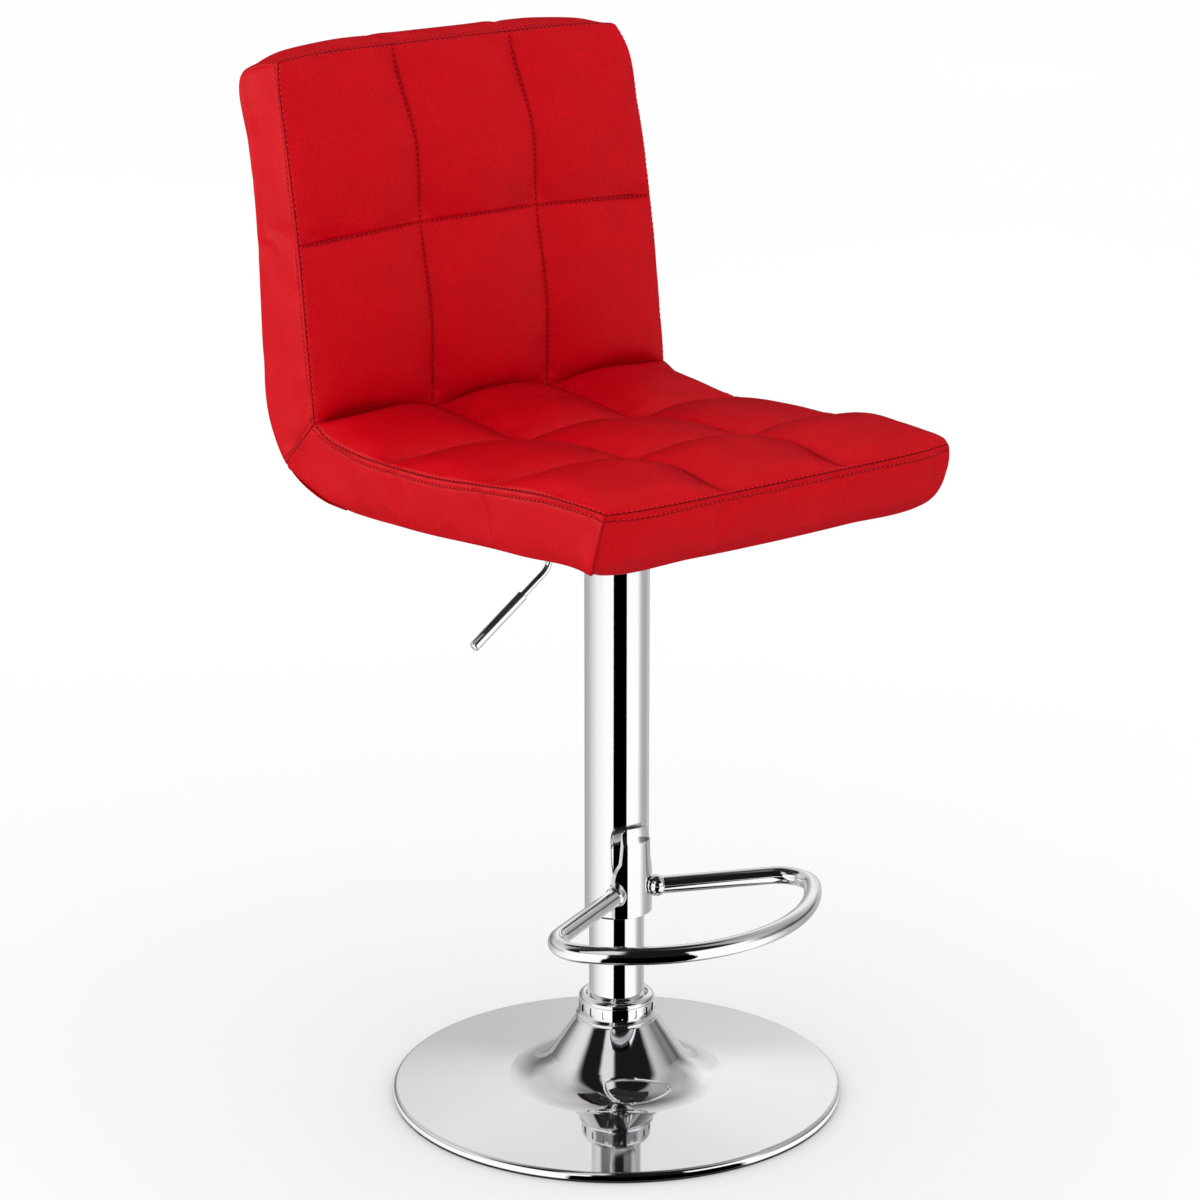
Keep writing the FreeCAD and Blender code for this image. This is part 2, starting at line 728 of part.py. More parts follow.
def upholstery():
    """Foam and cover, from one outline of the side of the seat and back."""
    outer = profile_wire()
    inner = outer.makeOffset2D(-COVER_T, 2)
    if Part.Face(inner).Area > Part.Face(outer).Area:
        inner = outer.makeOffset2D(COVER_T, 2)
    half = SEAT_HALF_WIDTH
    inside = half - COVER_T
    core = slab(inner, -inside, inside)
    band = slab(outer, -inside, inside).cut(core)

    in_seat = (-100.0, 600.0)
    in_bend = (215.0, 600.0)
    in_rear = (150.0, 590.0)
    in_back = (245.0, 900.0)

    def beyond(middle, corner, reach=400.0):
        dy = corner[0] - middle[0]
        dz = corner[1] - middle[1]
        length = math.hypot(dy, dz)
        return (middle[0] + dy / length * reach, middle[1] + dz / length * reach)

    front_low = beyond(in_seat, FRONT_BOTTOM)
    front_high = beyond(in_seat, FRONT_TOP)
    crease_out = beyond(in_bend, CREASE)
    top_front = beyond(in_back, BACK_TOP_FRONT)
    top_rear = beyond(in_back, BACK_TOP_REAR)
    rear_low = beyond(in_rear, UNDERSIDE_REAR)
    regions = {
        "seat_front_boxing": [in_seat, front_low, front_high],
        "seat_top_panel": [in_seat, front_high, crease_out, in_bend],
        "back_front_panel": [in_bend, crease_out, top_front, in_back],
        "back_top_boxing": [in_back, top_front, top_rear],
        "back_rear_panel": [in_back, top_rear, (900.0, 500.0), rear_low, in_rear, in_bend],
        "underside_cloth": [in_seat, in_rear, rear_low, front_low],
    }
    for name, region in regions.items():
        parts[name] = band.common(polygon_slab(region, -inside, inside))
    parts["underside_cloth"] = parts["underside_cloth"].cut(bolt_clearances(BOLT_R + 0.3, -10, 10))

    # the sides are cut in two by the mitre seam that runs from the crease to the rear bend
    mitre = [(CREASE[0] - 80.0, 700.0), CREASE, MITRE_END, (MITRE_END[0], 400.0)]
    seat_side = [(-400.0, 400.0), (-400.0, 700.0)] + mitre
    for side, x0 in (("right", inside), ("left", -half)):
        panel = slab(outer, x0, x0 + COVER_T)
        seat_cut = polygon_slab(seat_side, x0 - 1, x0 + COVER_T + 1)
        parts["seat_boxing_" + side] = panel.common(seat_cut)
        parts["back_boxing_" + side] = panel.cut(seat_cut)

    shell = parts["seat_shell"]
    foam = core.cut(shell).cut(bolt_clearances(BOLT_R + 0.4, 0, BOLT_LENGTH + 0.6))
    foam = foam.cut(tilted_group(tee_nut_solids(False)))
    seat_cut = polygon_slab(seat_side, -half, half)
    parts["seat_foam"] = biggest(foam.common(seat_cut))
    parts["back_foam"] = biggest(foam.cut(seat_cut))


def biggest(shape):
    return max(shape.Solids, key=lambda s: s.Volume)


# ---------------------------------------------------------------- build
parts["base_pan"] = base_pan()
parts["base_floor_ring"] = base_floor_ring()
parts["base_ballast_plate"] = base_ballast_plate()
parts["column_bolts"] = column_bolts()
parts["column_socket"] = column_socket()
parts["base_collar"] = base_collar()
parts["stand_tube"] = stand_tube()
parts["tube_base_plate"] = tube_base_plate()
parts["guide_bush"] = guide_bush()
parts["thrust_washer_lower"] = ring(SPIGOT_R + 1, BALL_CIRCLE + 3, TUBE_PLATE_TOP, LOWER_WASHER_TOP)
parts["thrust_balls"] = thrust_balls()
parts["thrust_washer_upper"] = ring(SPIGOT_R, BALL_CIRCLE + 3, UPPER_WASHER_BOTTOM, SHOULDER_Z)
parts["piston_rod"] = piston_rod()
parts["rod_clip"] = rod_clip()
parts["piston"] = piston()
parts["piston_seal"] = ring(BORE_R - SEAL_DEPTH, BORE_R - RUN / 2, SEAL_Z, SEAL_Z + SEAL_T)
parts["gas_cylinder"] = gas_cylinder()
parts["cylinder_gland"] = cylinder_gland()
parts["gland_seal"] = gland_seal()
parts["cylinder_taper"] = cylinder_taper()
parts["release_pin"] = release_pin()
parts["column_sleeve"] = column_sleeve()
parts["sleeve_glide_bush"] = sleeve_glide_bush()
parts["sleeve_top_cap"] = sleeve_top_cap()
parts["footrest_bracket"] = footrest_bracket()
parts["footrest_loop"] = footrest_loop()
parts["footrest_welds"] = footrest_welds()
parts["seat_plate"] = seat_plate()
parts["plate_hub"] = plate_hub()
parts["lever_bracket"] = lever_bracket()
parts["lever_pivot_pin"] = lever_pivot_pin()
parts["lever_rod"] = lever_rod()
parts["lever_handle"] = lever_handle()
parts["seat_bolts"] = seat_bolts()
parts["seat_washers"] = seat_washers()
parts["tee_nuts"] = tee_nuts()
parts["seat_shell"] = seat_shell()
upholstery()

os.makedirs("parts", exist_ok=True)
for name, shape in parts.items():
    shape.exportStep("parts/" + name + ".step")
    print("%-22s solids %2d valid %s volume %.0f" % (name, len(shape.Solids), shape.isValid(), shape.Volume))
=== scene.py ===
"""Looks of the adjustable swivel bar stool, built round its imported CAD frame.

The outlines below are in millimetres, in the frame's own axes: X to the right, -Y to the front, Z up.
Meshes are made in metres. The upholstery is two closed cushions, each a box of six sewn panels, and every
panel is a grid of points whose first index runs along its seam and whose second runs away from it.
"""
import math

import bmesh
import bpy
import numpy as np
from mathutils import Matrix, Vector


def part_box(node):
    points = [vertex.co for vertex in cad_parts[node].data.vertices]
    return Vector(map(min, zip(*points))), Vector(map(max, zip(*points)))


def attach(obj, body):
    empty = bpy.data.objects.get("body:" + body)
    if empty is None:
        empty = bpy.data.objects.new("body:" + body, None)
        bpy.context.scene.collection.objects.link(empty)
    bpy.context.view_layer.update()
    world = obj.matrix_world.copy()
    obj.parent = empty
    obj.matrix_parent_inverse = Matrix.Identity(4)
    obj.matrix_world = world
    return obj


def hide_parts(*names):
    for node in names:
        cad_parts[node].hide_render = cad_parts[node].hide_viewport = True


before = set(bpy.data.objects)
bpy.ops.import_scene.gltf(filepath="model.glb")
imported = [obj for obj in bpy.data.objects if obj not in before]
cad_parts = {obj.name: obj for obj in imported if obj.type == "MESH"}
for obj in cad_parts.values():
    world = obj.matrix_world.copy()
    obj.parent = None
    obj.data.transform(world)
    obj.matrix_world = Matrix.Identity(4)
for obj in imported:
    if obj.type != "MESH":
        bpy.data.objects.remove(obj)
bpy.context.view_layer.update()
MM = 0.001


# ---- sizes taken from the frame
def box_mm(node):
    """The lowest and the highest corner of a node."""
    low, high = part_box(node)
    return np.array(low) / MM, np.array(high) / MM


HALF = box_mm("seat_boxing_right")[1][0]
(_, FRONT, LIP), (_, _, EDGE) = box_mm("seat_front_boxing")
(_, CREASE, _), (_, TOP_FRONT, TOP) = box_mm("back_front_panel")
(_, _, UNDER), (_, REAR, TOP_REAR) = box_mm("back_rear_panel")
(_, UNDER_FRONT, _), (_, FLAP, _) = box_mm("underside_cloth")

# ---- upholstery outlines
CELL = 65.0  # distance of the long quilt seams from the middle
# The quilt lines are numbered from the front: 0 front edge, 1 and 2 seat seams, 3 crease, 4 back seam, 5 top.
CREASE_SIDE = (3.0, HALF + 1, CREASE + 2, EDGE - 4)
CREASE_MIDDLE = (3.0, CREASE + 8, EDGE - 8)
SEAT_SIDE = [  # line number, then x, y, z of the right-hand edge seam
    (0.0, HALF - 9, FRONT + 1.5, EDGE - 3.5),
    (0.08, HALF - 6, FRONT + 11, EDGE - 2),
    (0.5, HALF - 2.5, FRONT + 75, EDGE - 1.5),
    (1.0, HALF - 1, FRONT + 151, EDGE - 9),
    (1.5, HALF, FRONT + 224, EDGE - 17),
    (2.0, HALF + 1, CREASE - 102, EDGE - 19.5),
    (2.5, HALF + 1, CREASE - 46, EDGE - 18),
    (2.8, HALF + 1, CREASE - 15, EDGE - 13),
    CREASE_SIDE,
]
SEAT_MIDDLE = [  # line number, then y and z where it crosses the long quilt seams
    (0.0, FRONT - 6.5, EDGE - 4),
    (0.5, FRONT + 59, EDGE - 1),
    (1.0, FRONT + 125, EDGE - 2),
    (1.5, FRONT + 202, EDGE - 10),
    (2.0, CREASE - 121, EDGE - 16),
    (2.5, CREASE - 54, EDGE - 18),
    CREASE_MIDDLE,
]
BACK_SIDE = [
    CREASE_SIDE,
    (3.5, HALF + 0.5, CREASE + 12, EDGE + 74),
    (4.0, HALF, TOP_FRONT - 30, TOP - 160),
    (4.5, HALF - 1.5, TOP_FRONT - 14, TOP - 81),
    (4.86, HALF - 4, TOP_FRONT + 1, TOP - 22),
    (5.0, HALF - 9.5, TOP_FRONT + 10, TOP - 4.2),
]
BACK_MIDDLE = [
    CREASE_MIDDLE,
    (3.5, CREASE + 14, EDGE + 71),
    (4.0, TOP_FRONT - 29, TOP - 154),
    (4.5, TOP_FRONT - 17, TOP - 79),
    (5.0, TOP_FRONT + 12, TOP),
]
INSET = HALF - 11  # x of the bottom and rear edges, where the side panels end
OUTER_EDGE = [  # line number, then x, y, z of the right-hand bottom and rear edge
    (0.0, INSET + 1.5, FRONT + 21, LIP + 1.3),
    (0.5, INSET - 1, FRONT + 76, LIP - 2.5),
    (1.0, INSET, FRONT + 147, UNDER + 12),
    (2.0, INSET, FRONT + 284, UNDER + 2),
    (2.5, INSET + 1, FLAP, UNDER),
    (2.7, INSET + 3, FLAP + 34, UNDER + 3),
    (2.85, INSET + 5, FLAP + 60, UNDER + 12),
    (3.0, INSET + 6, FLAP + 79, UNDER + 24),
    (3.15, INSET + 6, REAR - 45, UNDER + 41),
    (3.35, INSET + 7, REAR - 32, UNDER + 70),
    (3.6, INSET + 7, REAR - 27, UNDER + 118),
    (4.0, INSET + 7, REAR - 22, TOP - 161),
    (4.5, INSET + 6, REAR - 10, TOP - 84),
    (4.9, INSET + 4, REAR + 6, TOP - 32),
    (5.0, INSET + 1, REAR + 8, TOP_REAR - 5),
]
# Line number, then how far the rear panel's middle stands out from its edges.
REAR_BOW = [(2.5, 0.0), (3.0, -0.5), (3.4, 1.0), (3.9, 4.0), (4.6, 4.5), (5.0, 3.0)]
# Line number, then the power of the curve across: higher is straighter.
EDGE_POWER = [(0.0, 6.0), (0.3, 2.0), (4.6, 2.0), (5.0, 6.0)]
FRONT_BOW = (6.0, 2.0)  # how far the front panel's lower edge bows forwards and down in its middle
RIDGE_BOW = (2.0, 3.0)  # how far the back's upper rear edge bows backwards and up in its middle
RIDGE_BLEND = 20.0  # how far down the rear panel follows that bow
SEAT_CROWN = (14.5, 13.0, 17.0)  # how far a cell stands above its seams, row by row from the front
BACK_CROWN = (13.0, 11.0)  # the same from the crease up
FULLNESS = 2.45  # how steeply a cell rises from a quilt seam
EDGE_FULLNESS = 5.5  # the same from an edge seam
CREASE_FULLNESS = 7.0  # the same from the crease
SEAM_LIFT = 6.0  # how far a quilt seam rises between two crossings
BULGE_AT, ROUND_AT = 0.45, 0.85  # where the boxing stands out most, and where it turns in
ROUND_LENGTH = 8.0  # distance of that turn from its outer edge
SIDE_BULGE = 2.5  # how far the boxing stands out between its edges
CORNER_BULGE = 7.0  # the same for the seam at each front corner, before its edge is rounded
TOP_BULGE = 18.0  # the same for the top of the back, in its middle
TOP_CORNER_BULGE = 6.5  # and at its ends
TOP_OUT = (0, 0.25, 0.97)  # the direction in which the top of the back stands out
TOP_END_BULGE = 1.4  # how far the seams at its ends stand out
CORNER_R = 12.0  # radius that the rounding of the front corners grows towards
CORNER_GROWTH = 1.3  # how soon it gets there
TOP_CORNER_R = 5.0  # radius of the rounded ends of the back's top
STITCH_ROW = 5.8  # distance of the topstitching from an edge seam, on the boxing
HIDDEN_ROW = 1.1  # distance of the row that shows as puckers, on the quilted panels
TUCK = 16.0  # how far the cover is turned in under the seat
TUCK_RISE = 3.5  # and how far that part rises
LINING_DEPTH = 2.0  # distance of the back's hidden inner face from the flap
TUCK_SHARE = 0.3  # the share of the boxing's own parameter that the tuck takes
LINES_PER_CELL = 44  # lines of the visible panels
LINES_ACROSS_BOXING = 44
LINES_IN_TUCK = 12
COARSE_PER_CELL = 18  # lines of the copy that is simulated as cloth
COARSE_ACROSS_BOXING = 10

# ---- how the cover fills out
PRESSURE = 4.0
LAST_FRAME = 20  # the cloth has settled by then
SWELL_LIMIT = 5.0  # the most that the cloth may move a point
CREASE_LEAN = 0.6  # how far the surface between seat and back comes forwards for each millimetre up
CREASE_GAP = 0.1  # distance of each cushion from that surface
CREASE_REACH = 2 * LINES_PER_CELL // 3  # lines of each cushion that may touch it


# ---- numerical helpers
def smooth(table, at):
    """A cubic through the rows of a table, whose first column is the parameter, at the values in at."""
    table = np.asarray(table, float)
    return smooth_through(table[:, 0], table[:, 1:], np.asarray(at, float))


def smooth_through(knots, values, at):
    """A cubic through values at knots, along the first axis; its end slopes are those of the end spans."""
    knots, values = np.asarray(knots, float), np.asarray(values, float)
    tail = [1] * (values.ndim - 1)
    step = np.diff(knots)
    slope = np.diff(values, axis=0) / step.reshape(-1, *tail)
    before, after = step[:-1].reshape(-1, *tail), step[1:].reshape(-1, *tail)
    inner = (slope[:-1] * after + slope[1:] * before) / (before + after)
    tangent = np.concatenate([slope[:1], inner, slope[-1:]])
    i = np.clip(np.searchsorted(knots, at, side="right") - 1, 0, len(knots) - 2)
    h = step[i].reshape(-1, *tail)
    t = ((at - knots[i]) / step[i]).reshape(-1, *tail)
    return (
        values[i] * (2 * t**3 - 3 * t**2 + 1)
        + tangent[i] * h * (t**3 - 2 * t**2 + t)
        + values[i + 1] * (3 * t**2 - 2 * t**3)
        + tangent[i + 1] * h * (t**3 - t**2)
    )


def graded(count, gather):
    """Parameters from 0 to 1 that crowd towards both ends, where the seams are."""
    t = np.linspace(0, 1, count + 1)
    return t - gather * np.sin(2 * math.pi * t) / (2 * math.pi)


def cells(first, last, count, gather):
    """Parameters over whole cells, from seam number first to seam number last."""
    pieces = [i + graded(count, gather)[:-1] for i in range(first, last)]
    return np.concatenate([*pieces, [last]])


def unit(v):
    return v / np.maximum(np.linalg.norm(v, axis=-1, keepdims=True), 1e-9)


def normals(grid):
    """The normal at each point of a grid, the cross product of its first and second directions."""
    return unit(np.cross(np.gradient(grid, axis=0), np.gradient(grid, axis=1)))


def from_edge(grid, axis, end):
    """The distance of each point from the grid's first or last line, along the grid's own lines."""
    steps = np.linalg.norm(np.diff(grid, axis=axis), axis=-1)
    pad = [(0, 0), (0, 0)]
    pad[axis] = (1, 0)
    reach = np.pad(np.cumsum(steps, axis=axis), pad)
    if end == 0:
        return reach
    return np.take(reach, [-1], axis=axis) - reach


def hump(x, width):
    """1 where x is 0, fading out over about the width."""
    return np.exp(-((x / width) ** 2))


def dome(t, low, high):
    """0 at both ends of a cell and 1 in its middle; a higher power makes that end steeper."""
    return 1 - np.abs(2 * t - 1) ** np.where(t < 0.5, low, high)


# ---- panel surfaces
def quilt_sheet(a, b, side, middle, crown, crease_end):
    """Quilted panel over the lines a (0 to 3, left to right) and b (quilt line numbers).

    crown is the height of each row's cells. They stay full right up to the crease, b's first or last line.
    """
    edge, inner = smooth(side, b), smooth(middle, b)
    x = np.stack([-edge[:, 0], np.full(len(b), -CELL), np.full(len(b), CELL), edge[:, 0]])
    x = np.array([np.interp(a, range(4), x[:, j]) for j in range(len(b))]).T
    power = np.interp(b, *zip(*EDGE_POWER))
    weight = (1 - np.abs(x / edge[:, 0]) ** power) / (1 - (CELL / edge[:, 0]) ** power)
    y = edge[:, 1] + (inner[:, 0] - edge[:, 1]) * weight
    z = edge[:, 2] + (inner[:, 1] - edge[:, 2]) * weight
    base = np.stack([x, y, z], axis=-1)

    first, last = b[0], b[-1]
    cell_a, cell_b = np.minimum(np.floor(a), 2), np.minimum(np.floor(b), last - 1)
    ta, tb = (a - cell_a)[:, None], (b - cell_b)[None, :]
    row = cell_b[None, :] - first
    rows = last - first
    start, stop = (CREASE_FULLNESS if crease_end == end else EDGE_FULLNESS for end in (0, 1))
    low = np.where(row == 0, start, FULLNESS)
    high = np.where(row == rows - 1, stop, FULLNESS)
    side_low = np.where(cell_a == 0, EDGE_FULLNESS, FULLNESS)[:, None]
    side_high = np.where(cell_a == 2, EDGE_FULLNESS, FULLNESS)[:, None]
    across, along = dome(ta, side_low, side_high), dome(tb, low, high)
    inner_a = np.where(ta < 0.5, cell_a[:, None] > 0, cell_a[:, None] < 2)
    inner_b = np.where(tb < 0.5, row > 0, row < rows - 1)
    height = np.take(crown, row.astype(int)) * across * along
    height += SEAM_LIFT * np.sin(math.pi * tb) ** 2 * (1 - across) * inner_a
    height += SEAM_LIFT * np.sin(math.pi * ta) ** 2 * (1 - along) * inner_b
    return base + normals(base) * height[..., None]


def boxing(seam, outer, v, out, bulge=SIDE_BULGE, round_off=4.0, tuck=None):
    """Side, front or top panel from its seam line to its outer edge, and tucked under if tuck is given."""
    up = unit(seam - outer)
    middle = seam + (outer - seam) * BULGE_AT + out * bulge
    rows = [seam, middle, outer + up * ROUND_LENGTH + out * round_off, outer]
    knots = [0, BULGE_AT, ROUND_AT, 1]
    if tuck is not None:
        rows.append(outer + tuck)
        knots.append(1 + TUCK_SHARE)
    return smooth_through(knots, np.stack(rows), v).swapaxes(0, 1)


def coons(low_u, high_u, low_v, high_v):
    """The patch inside four edge lines: low_u and high_u run along the second index."""
    u = np.linspace(0, 1, len(low_v))[:, None, None]
    v = np.linspace(0, 1, len(low_u))[None, :, None]
    corners = (low_u[0] * (1 - u) * (1 - v) + high_u[0] * u * (1 - v)
               + low_u[-1] * (1 - u) * v + high_u[-1] * u * v)
    return low_u * (1 - u) + high_u * u + low_v[:, None] * (1 - v) + high_v[:, None] * v - corners


def share_edge(one, other, swell=0.0, reach=14.0):
    """Moves two panels to a common line half way between their first columns, fading inside each."""
    line = (one[0] + other[0]) / 2 + swell
    for grid in (one, other):
        fade = np.clip(1 - from_edge(grid, 0, 0) / reach, 0, 1) ** 2
        grid += (line - grid[0]) * fade[..., None]
        grid[0] = line


def round_edge(one, other, radii):
    """Rounds the common first line of two panels; radii holds a radius for each of its points."""
    reaches = [from_edge(grid, 0, 0) for grid in (one, other)]
    ends = [
        np.array([[np.interp(r, far[:, j], grid[:, j, k]) for k in range(3)] for j, r in enumerate(radii)])
        for grid, far in zip((one, other), reaches)
    ]
    tip = one[0].copy()
    for grid, far, near, away in ((one, reaches[0], *ends), (other, reaches[1], *ends[::-1])):
        inside = far < radii
        t = (0.5 * np.clip(1 - far / np.maximum(radii, 1e-6), 0, 1))[..., None]
        curve = (1 - t) ** 2 * near + 2 * t * (1 - t) * tip + t**2 * away
        grid[inside] = curve[inside]


def mirrored(grid):
    return grid * np.array([-1.0, 1.0, 1.0])


class Lines:
    """The parameters of both cushions' panels, finely for what is seen or coarsely for the cloth."""

    def __init__(self, per_cell, across, in_tuck, gather, gather_across):
        self.a = cells(0, 3, per_cell, gather)
        self.seat = cells(0, 3, per_cell, gather)
        self.back = cells(3, 5, per_cell, gather)
        self.v = graded(across, gather_across)
        self.v_tuck = np.concatenate([self.v, np.linspace(1, 1 + TUCK_SHARE, in_tuck + 1)[1:]])
        self.flap = np.linspace(3, 2.5, 2 * in_tuck + 6)[1:]
        self.per_cell = per_cell
        self.across = across


FINE = Lines(LINES_PER_CELL, LINES_ACROSS_BOXING, LINES_IN_TUCK, 0.9, 0.8)
COARSE = Lines(COARSE_PER_CELL, COARSE_ACROSS_BOXING, 3, 0.3, 0.2)
X = np.array([1.0, 0, 0])
Y = np.array([0, 1.0, 0])
Z = np.array([0, 0, 1.0])


def swell_profile(v):
    """0 at the ends of a boxing panel, 1 in its middle and 0 in its tuck."""
    return np.sin(math.pi * np.clip(v, 0, 1)) ** 0.8


def joined_halves(panel, from_right):
    """A panel whose right half is the one given, reversed, and whose left half is its mirror image."""
    half = len(panel) // 2
    panel[half:] = from_right[::-1][half:]
    panel[:half + 1] = mirrored(from_right)[:half + 1]
    return panel


def seat_panels(lines):
    a, b, v = lines.a, lines.seat, lines.v_tuck
    top = quilt_sheet(a, b, SEAT_SIDE, SEAT_MIDDLE, SEAT_CROWN, 1)
    outer = smooth(OUTER_EDGE, b)
    right = boxing(top[-1], outer, v, X, tuck=TUCK_RISE * Z - TUCK * X)
    share = top[:, 0, 0] / top[-1, 0, 0]
    bow = 1 - share**2
    ahead, down = FRONT_BOW
    front_outer = np.stack([outer[0, 0] * share, outer[0, 1] - ahead * bow, outer[0, 2] - down * bow], -1)
    front = boxing(top[:, 0], front_outer, v, -Y, tuck=TUCK * Y + TUCK_RISE * Z)
    front_from_right = front[::-1].copy()
    share_edge(right, front_from_right, np.outer(swell_profile(v), unit(X - Y)) * CORNER_BULGE)
    round_edge(right, front_from_right, CORNER_R * np.minimum(CORNER_GROWTH * v, 1))
    front = joined_halves(front, front_from_right)
    left = mirrored(right)
    inner = np.linspace(left[-1, -1], right[-1, -1], len(a))
    rear = coons(left[-1], right[-1], top[:, -1], inner)
    bottom = coons(left[:, -1], right[:, -1], front[:, -1], rear[:, -1])
    return {"top": top, "front": front, "left": left, "right": right, "rear": rear, "bottom": bottom}


def rear_sheet(a_share, lines):
    """Panel between the two outer edges, from the back's top round the bend to the end of the flap."""
    outer = smooth(OUTER_EDGE, lines)
    sides = [np.tile(outer[:, i], (len(a_share), 1)) for i in (1, 2)]
    flat = np.stack([np.outer(a_share, outer[:, 0]), *sides], -1)
    height = np.outer(1 - a_share**6, np.interp(lines, *zip(*REAR_BOW)))
    return flat + normals(flat) * height[..., None]


def back_panels(lines):
    a, b, v = lines.a, lines.back, lines.v
    front = quilt_sheet(a, b, BACK_SIDE, BACK_MIDDLE, BACK_CROWN, 0)
    outer = smooth(OUTER_EDGE, b)
    round_off = np.interp(b, [3, 3.4], [4, 2])[:, None]
    right = boxing(front[-1], outer, v, X, round_off=round_off)
    share = front[:, -1, 0] / front[-1, -1, 0]
    rear = rear_sheet(share, np.concatenate([b[::-1], lines.flap]))
    fade = np.clip(1 - from_edge(rear, 1, 0) / RIDGE_BLEND, 0, 1) ** 2
    bow = [RIDGE_BOW[0] * (1 - share**6), RIDGE_BOW[1] * (1 - share**4)]
    ridge = outer[-1] + np.stack([(share - 1) * outer[-1, 0], *bow], -1)
    rear += (ridge - rear[:, 0])[:, None] * fade[..., None]
    swell = (TOP_CORNER_BULGE + (TOP_BULGE - TOP_CORNER_BULGE) * (1 - np.abs(share) ** 14))[:, None]
    top = boxing(front[:, -1], ridge, v, unit(np.array(TOP_OUT)), swell, swell * 0.5)
    top_from_right, right_from_top = top[::-1].copy(), right[::-1].copy()
    share_edge(right_from_top, top_from_right, np.outer(swell_profile(v), unit(X + Z)) * TOP_END_BULGE)
    round_edge(right_from_top, top_from_right, TOP_CORNER_R * swell_profile(v))
    right = right_from_top[::-1]
    top = joined_halves(top, top_from_right)
    meet = len(b) - 1
    inside = (LINING_DEPTH * np.clip((1 - np.abs(share)) * 20, 0, 1))[:, None, None]
    lining = rear[:, meet:] - normals(rear)[:, meet:] * inside
    lining[:, -1] = rear[:, -1]
    left = mirrored(right)
    bottom = coons(left[0], right[0], front[:, 0], lining[:, 0])
    return {"front": front, "left": left, "right": right, "top": top,
            "rear": rear, "bottom": bottom, "lining": lining}


# ---- the cover as cloth under pressure
def free_points(panels, quilted, boxed, lines):
    """For each panel, which points the cloth may move: none on a seam, in a tuck or out of sight."""
    masks = {name: np.zeros(grid.shape[:2], bool) for name, grid in panels.items()}
    mask = masks[quilted]
    mask[1:-1, 1:-1] = True
    mask[::lines.per_cell, :] = False
    mask[:, ::lines.per_cell] = False
    for name in boxed:
        masks[name][1:-1, 1:lines.across] = True
    return masks


def settle(name, panels, masks):
    """How far each panel's points move when the foam fills out its cover: cloth held at its seams."""
    points, faces, _, same = merged(panels.values())
    held = np.zeros(len(points), bool)
    np.logical_or.at(held, same, ~np.concatenate([masks[k].ravel() for k in panels]))
    piece = mesh_object(name, points, faces)
    face_outwards(piece.data)
    group = piece.vertex_groups.new(name="seams")
    group.add(np.flatnonzero(held).tolist(), 1.0, "REPLACE")
    fabric = piece.modifiers.new("fabric", "CLOTH")
    cloth = fabric.settings
    cloth.quality = 7
    cloth.mass = 0.3
    cloth.tension_stiffness = cloth.compression_stiffness = 12
    cloth.shear_stiffness = 6
    cloth.bending_stiffness = 5
    cloth.shrink_min = -0.004
    cloth.use_pressure = True
    cloth.uniform_pressure_force = PRESSURE
    cloth.vertex_group_mass = group.name
    cloth.effector_weights.gravity = 0
    fabric.collision_settings.use_collision = False
    fabric.point_cache.frame_end = LAST_FRAME
    for step in range(1, LAST_FRAME + 1):
        bpy.context.scene.frame_set(step)
    swollen = piece.evaluated_get(bpy.context.evaluated_depsgraph_get()).to_mesh()
    moved = np.zeros(len(points) * 3, np.float32)
    swollen.vertices.foreach_get("co", moved)
    shift = moved.reshape(-1, 3) / MM - points
    bpy.data.objects.remove(piece)
    bpy.context.scene.frame_set(1)
    size = np.linalg.norm(shift, axis=1, keepdims=True)
    shift *= SWELL_LIMIT * np.tanh(size / SWELL_LIMIT) / np.maximum(size, 1e-6)
    shift[held] = 0
    shift = shift[same]
    ends = np.cumsum([grid[..., 0].size for grid in panels.values()])
    parts = np.split(shift, ends[:-1])
    return {key: part.reshape(grid.shape) for (key, grid), part in zip(panels.items(), parts)}


def resampled(move, rows, columns, new_rows, new_columns):
    """A coarse grid of shifts at the parameters of the fine grid."""
    along = smooth_through(rows, move, new_rows)
    return smooth_through(columns, along.swapaxes(0, 1), new_columns).swapaxes(0, 1)


def filled_out(name, make, quilted, boxed, quilt_lines):
    """Adds the simulated swelling to the fine panels of a cushion."""
    panels = make(FINE)
    coarse = make(COARSE)
    moves = settle(name, coarse, free_points(coarse, quilted, boxed, COARSE))
    for key in (quilted, *boxed):
        rows = "a" if key in ("front", "top") else quilt_lines
        columns = quilt_lines if key == quilted else "v"
        old, new = ([getattr(lines, name) for name in (rows, columns)] for lines in (COARSE, FINE))
        panels[key][:, :len(new[1])] += resampled(moves[key][:, :len(old[1])], *old, *new)
    return panels


def part_at_crease(seat, back):
    """Keeps the swollen seat and back on their own sides of the surface that they press against."""
    crease = seat["top"][:, -1:].copy()
    rows = seat["top"][:, -CREASE_REACH:-1], back["front"][:, 1:CREASE_REACH]
    for row, side, pick in zip(rows, (-1, 1), (np.minimum, np.maximum)):
        contact = crease[..., 1] - CREASE_LEAN * (row[..., 2] - crease[..., 2])
        row[..., 1] = pick(row[..., 1], contact + side * CREASE_GAP)


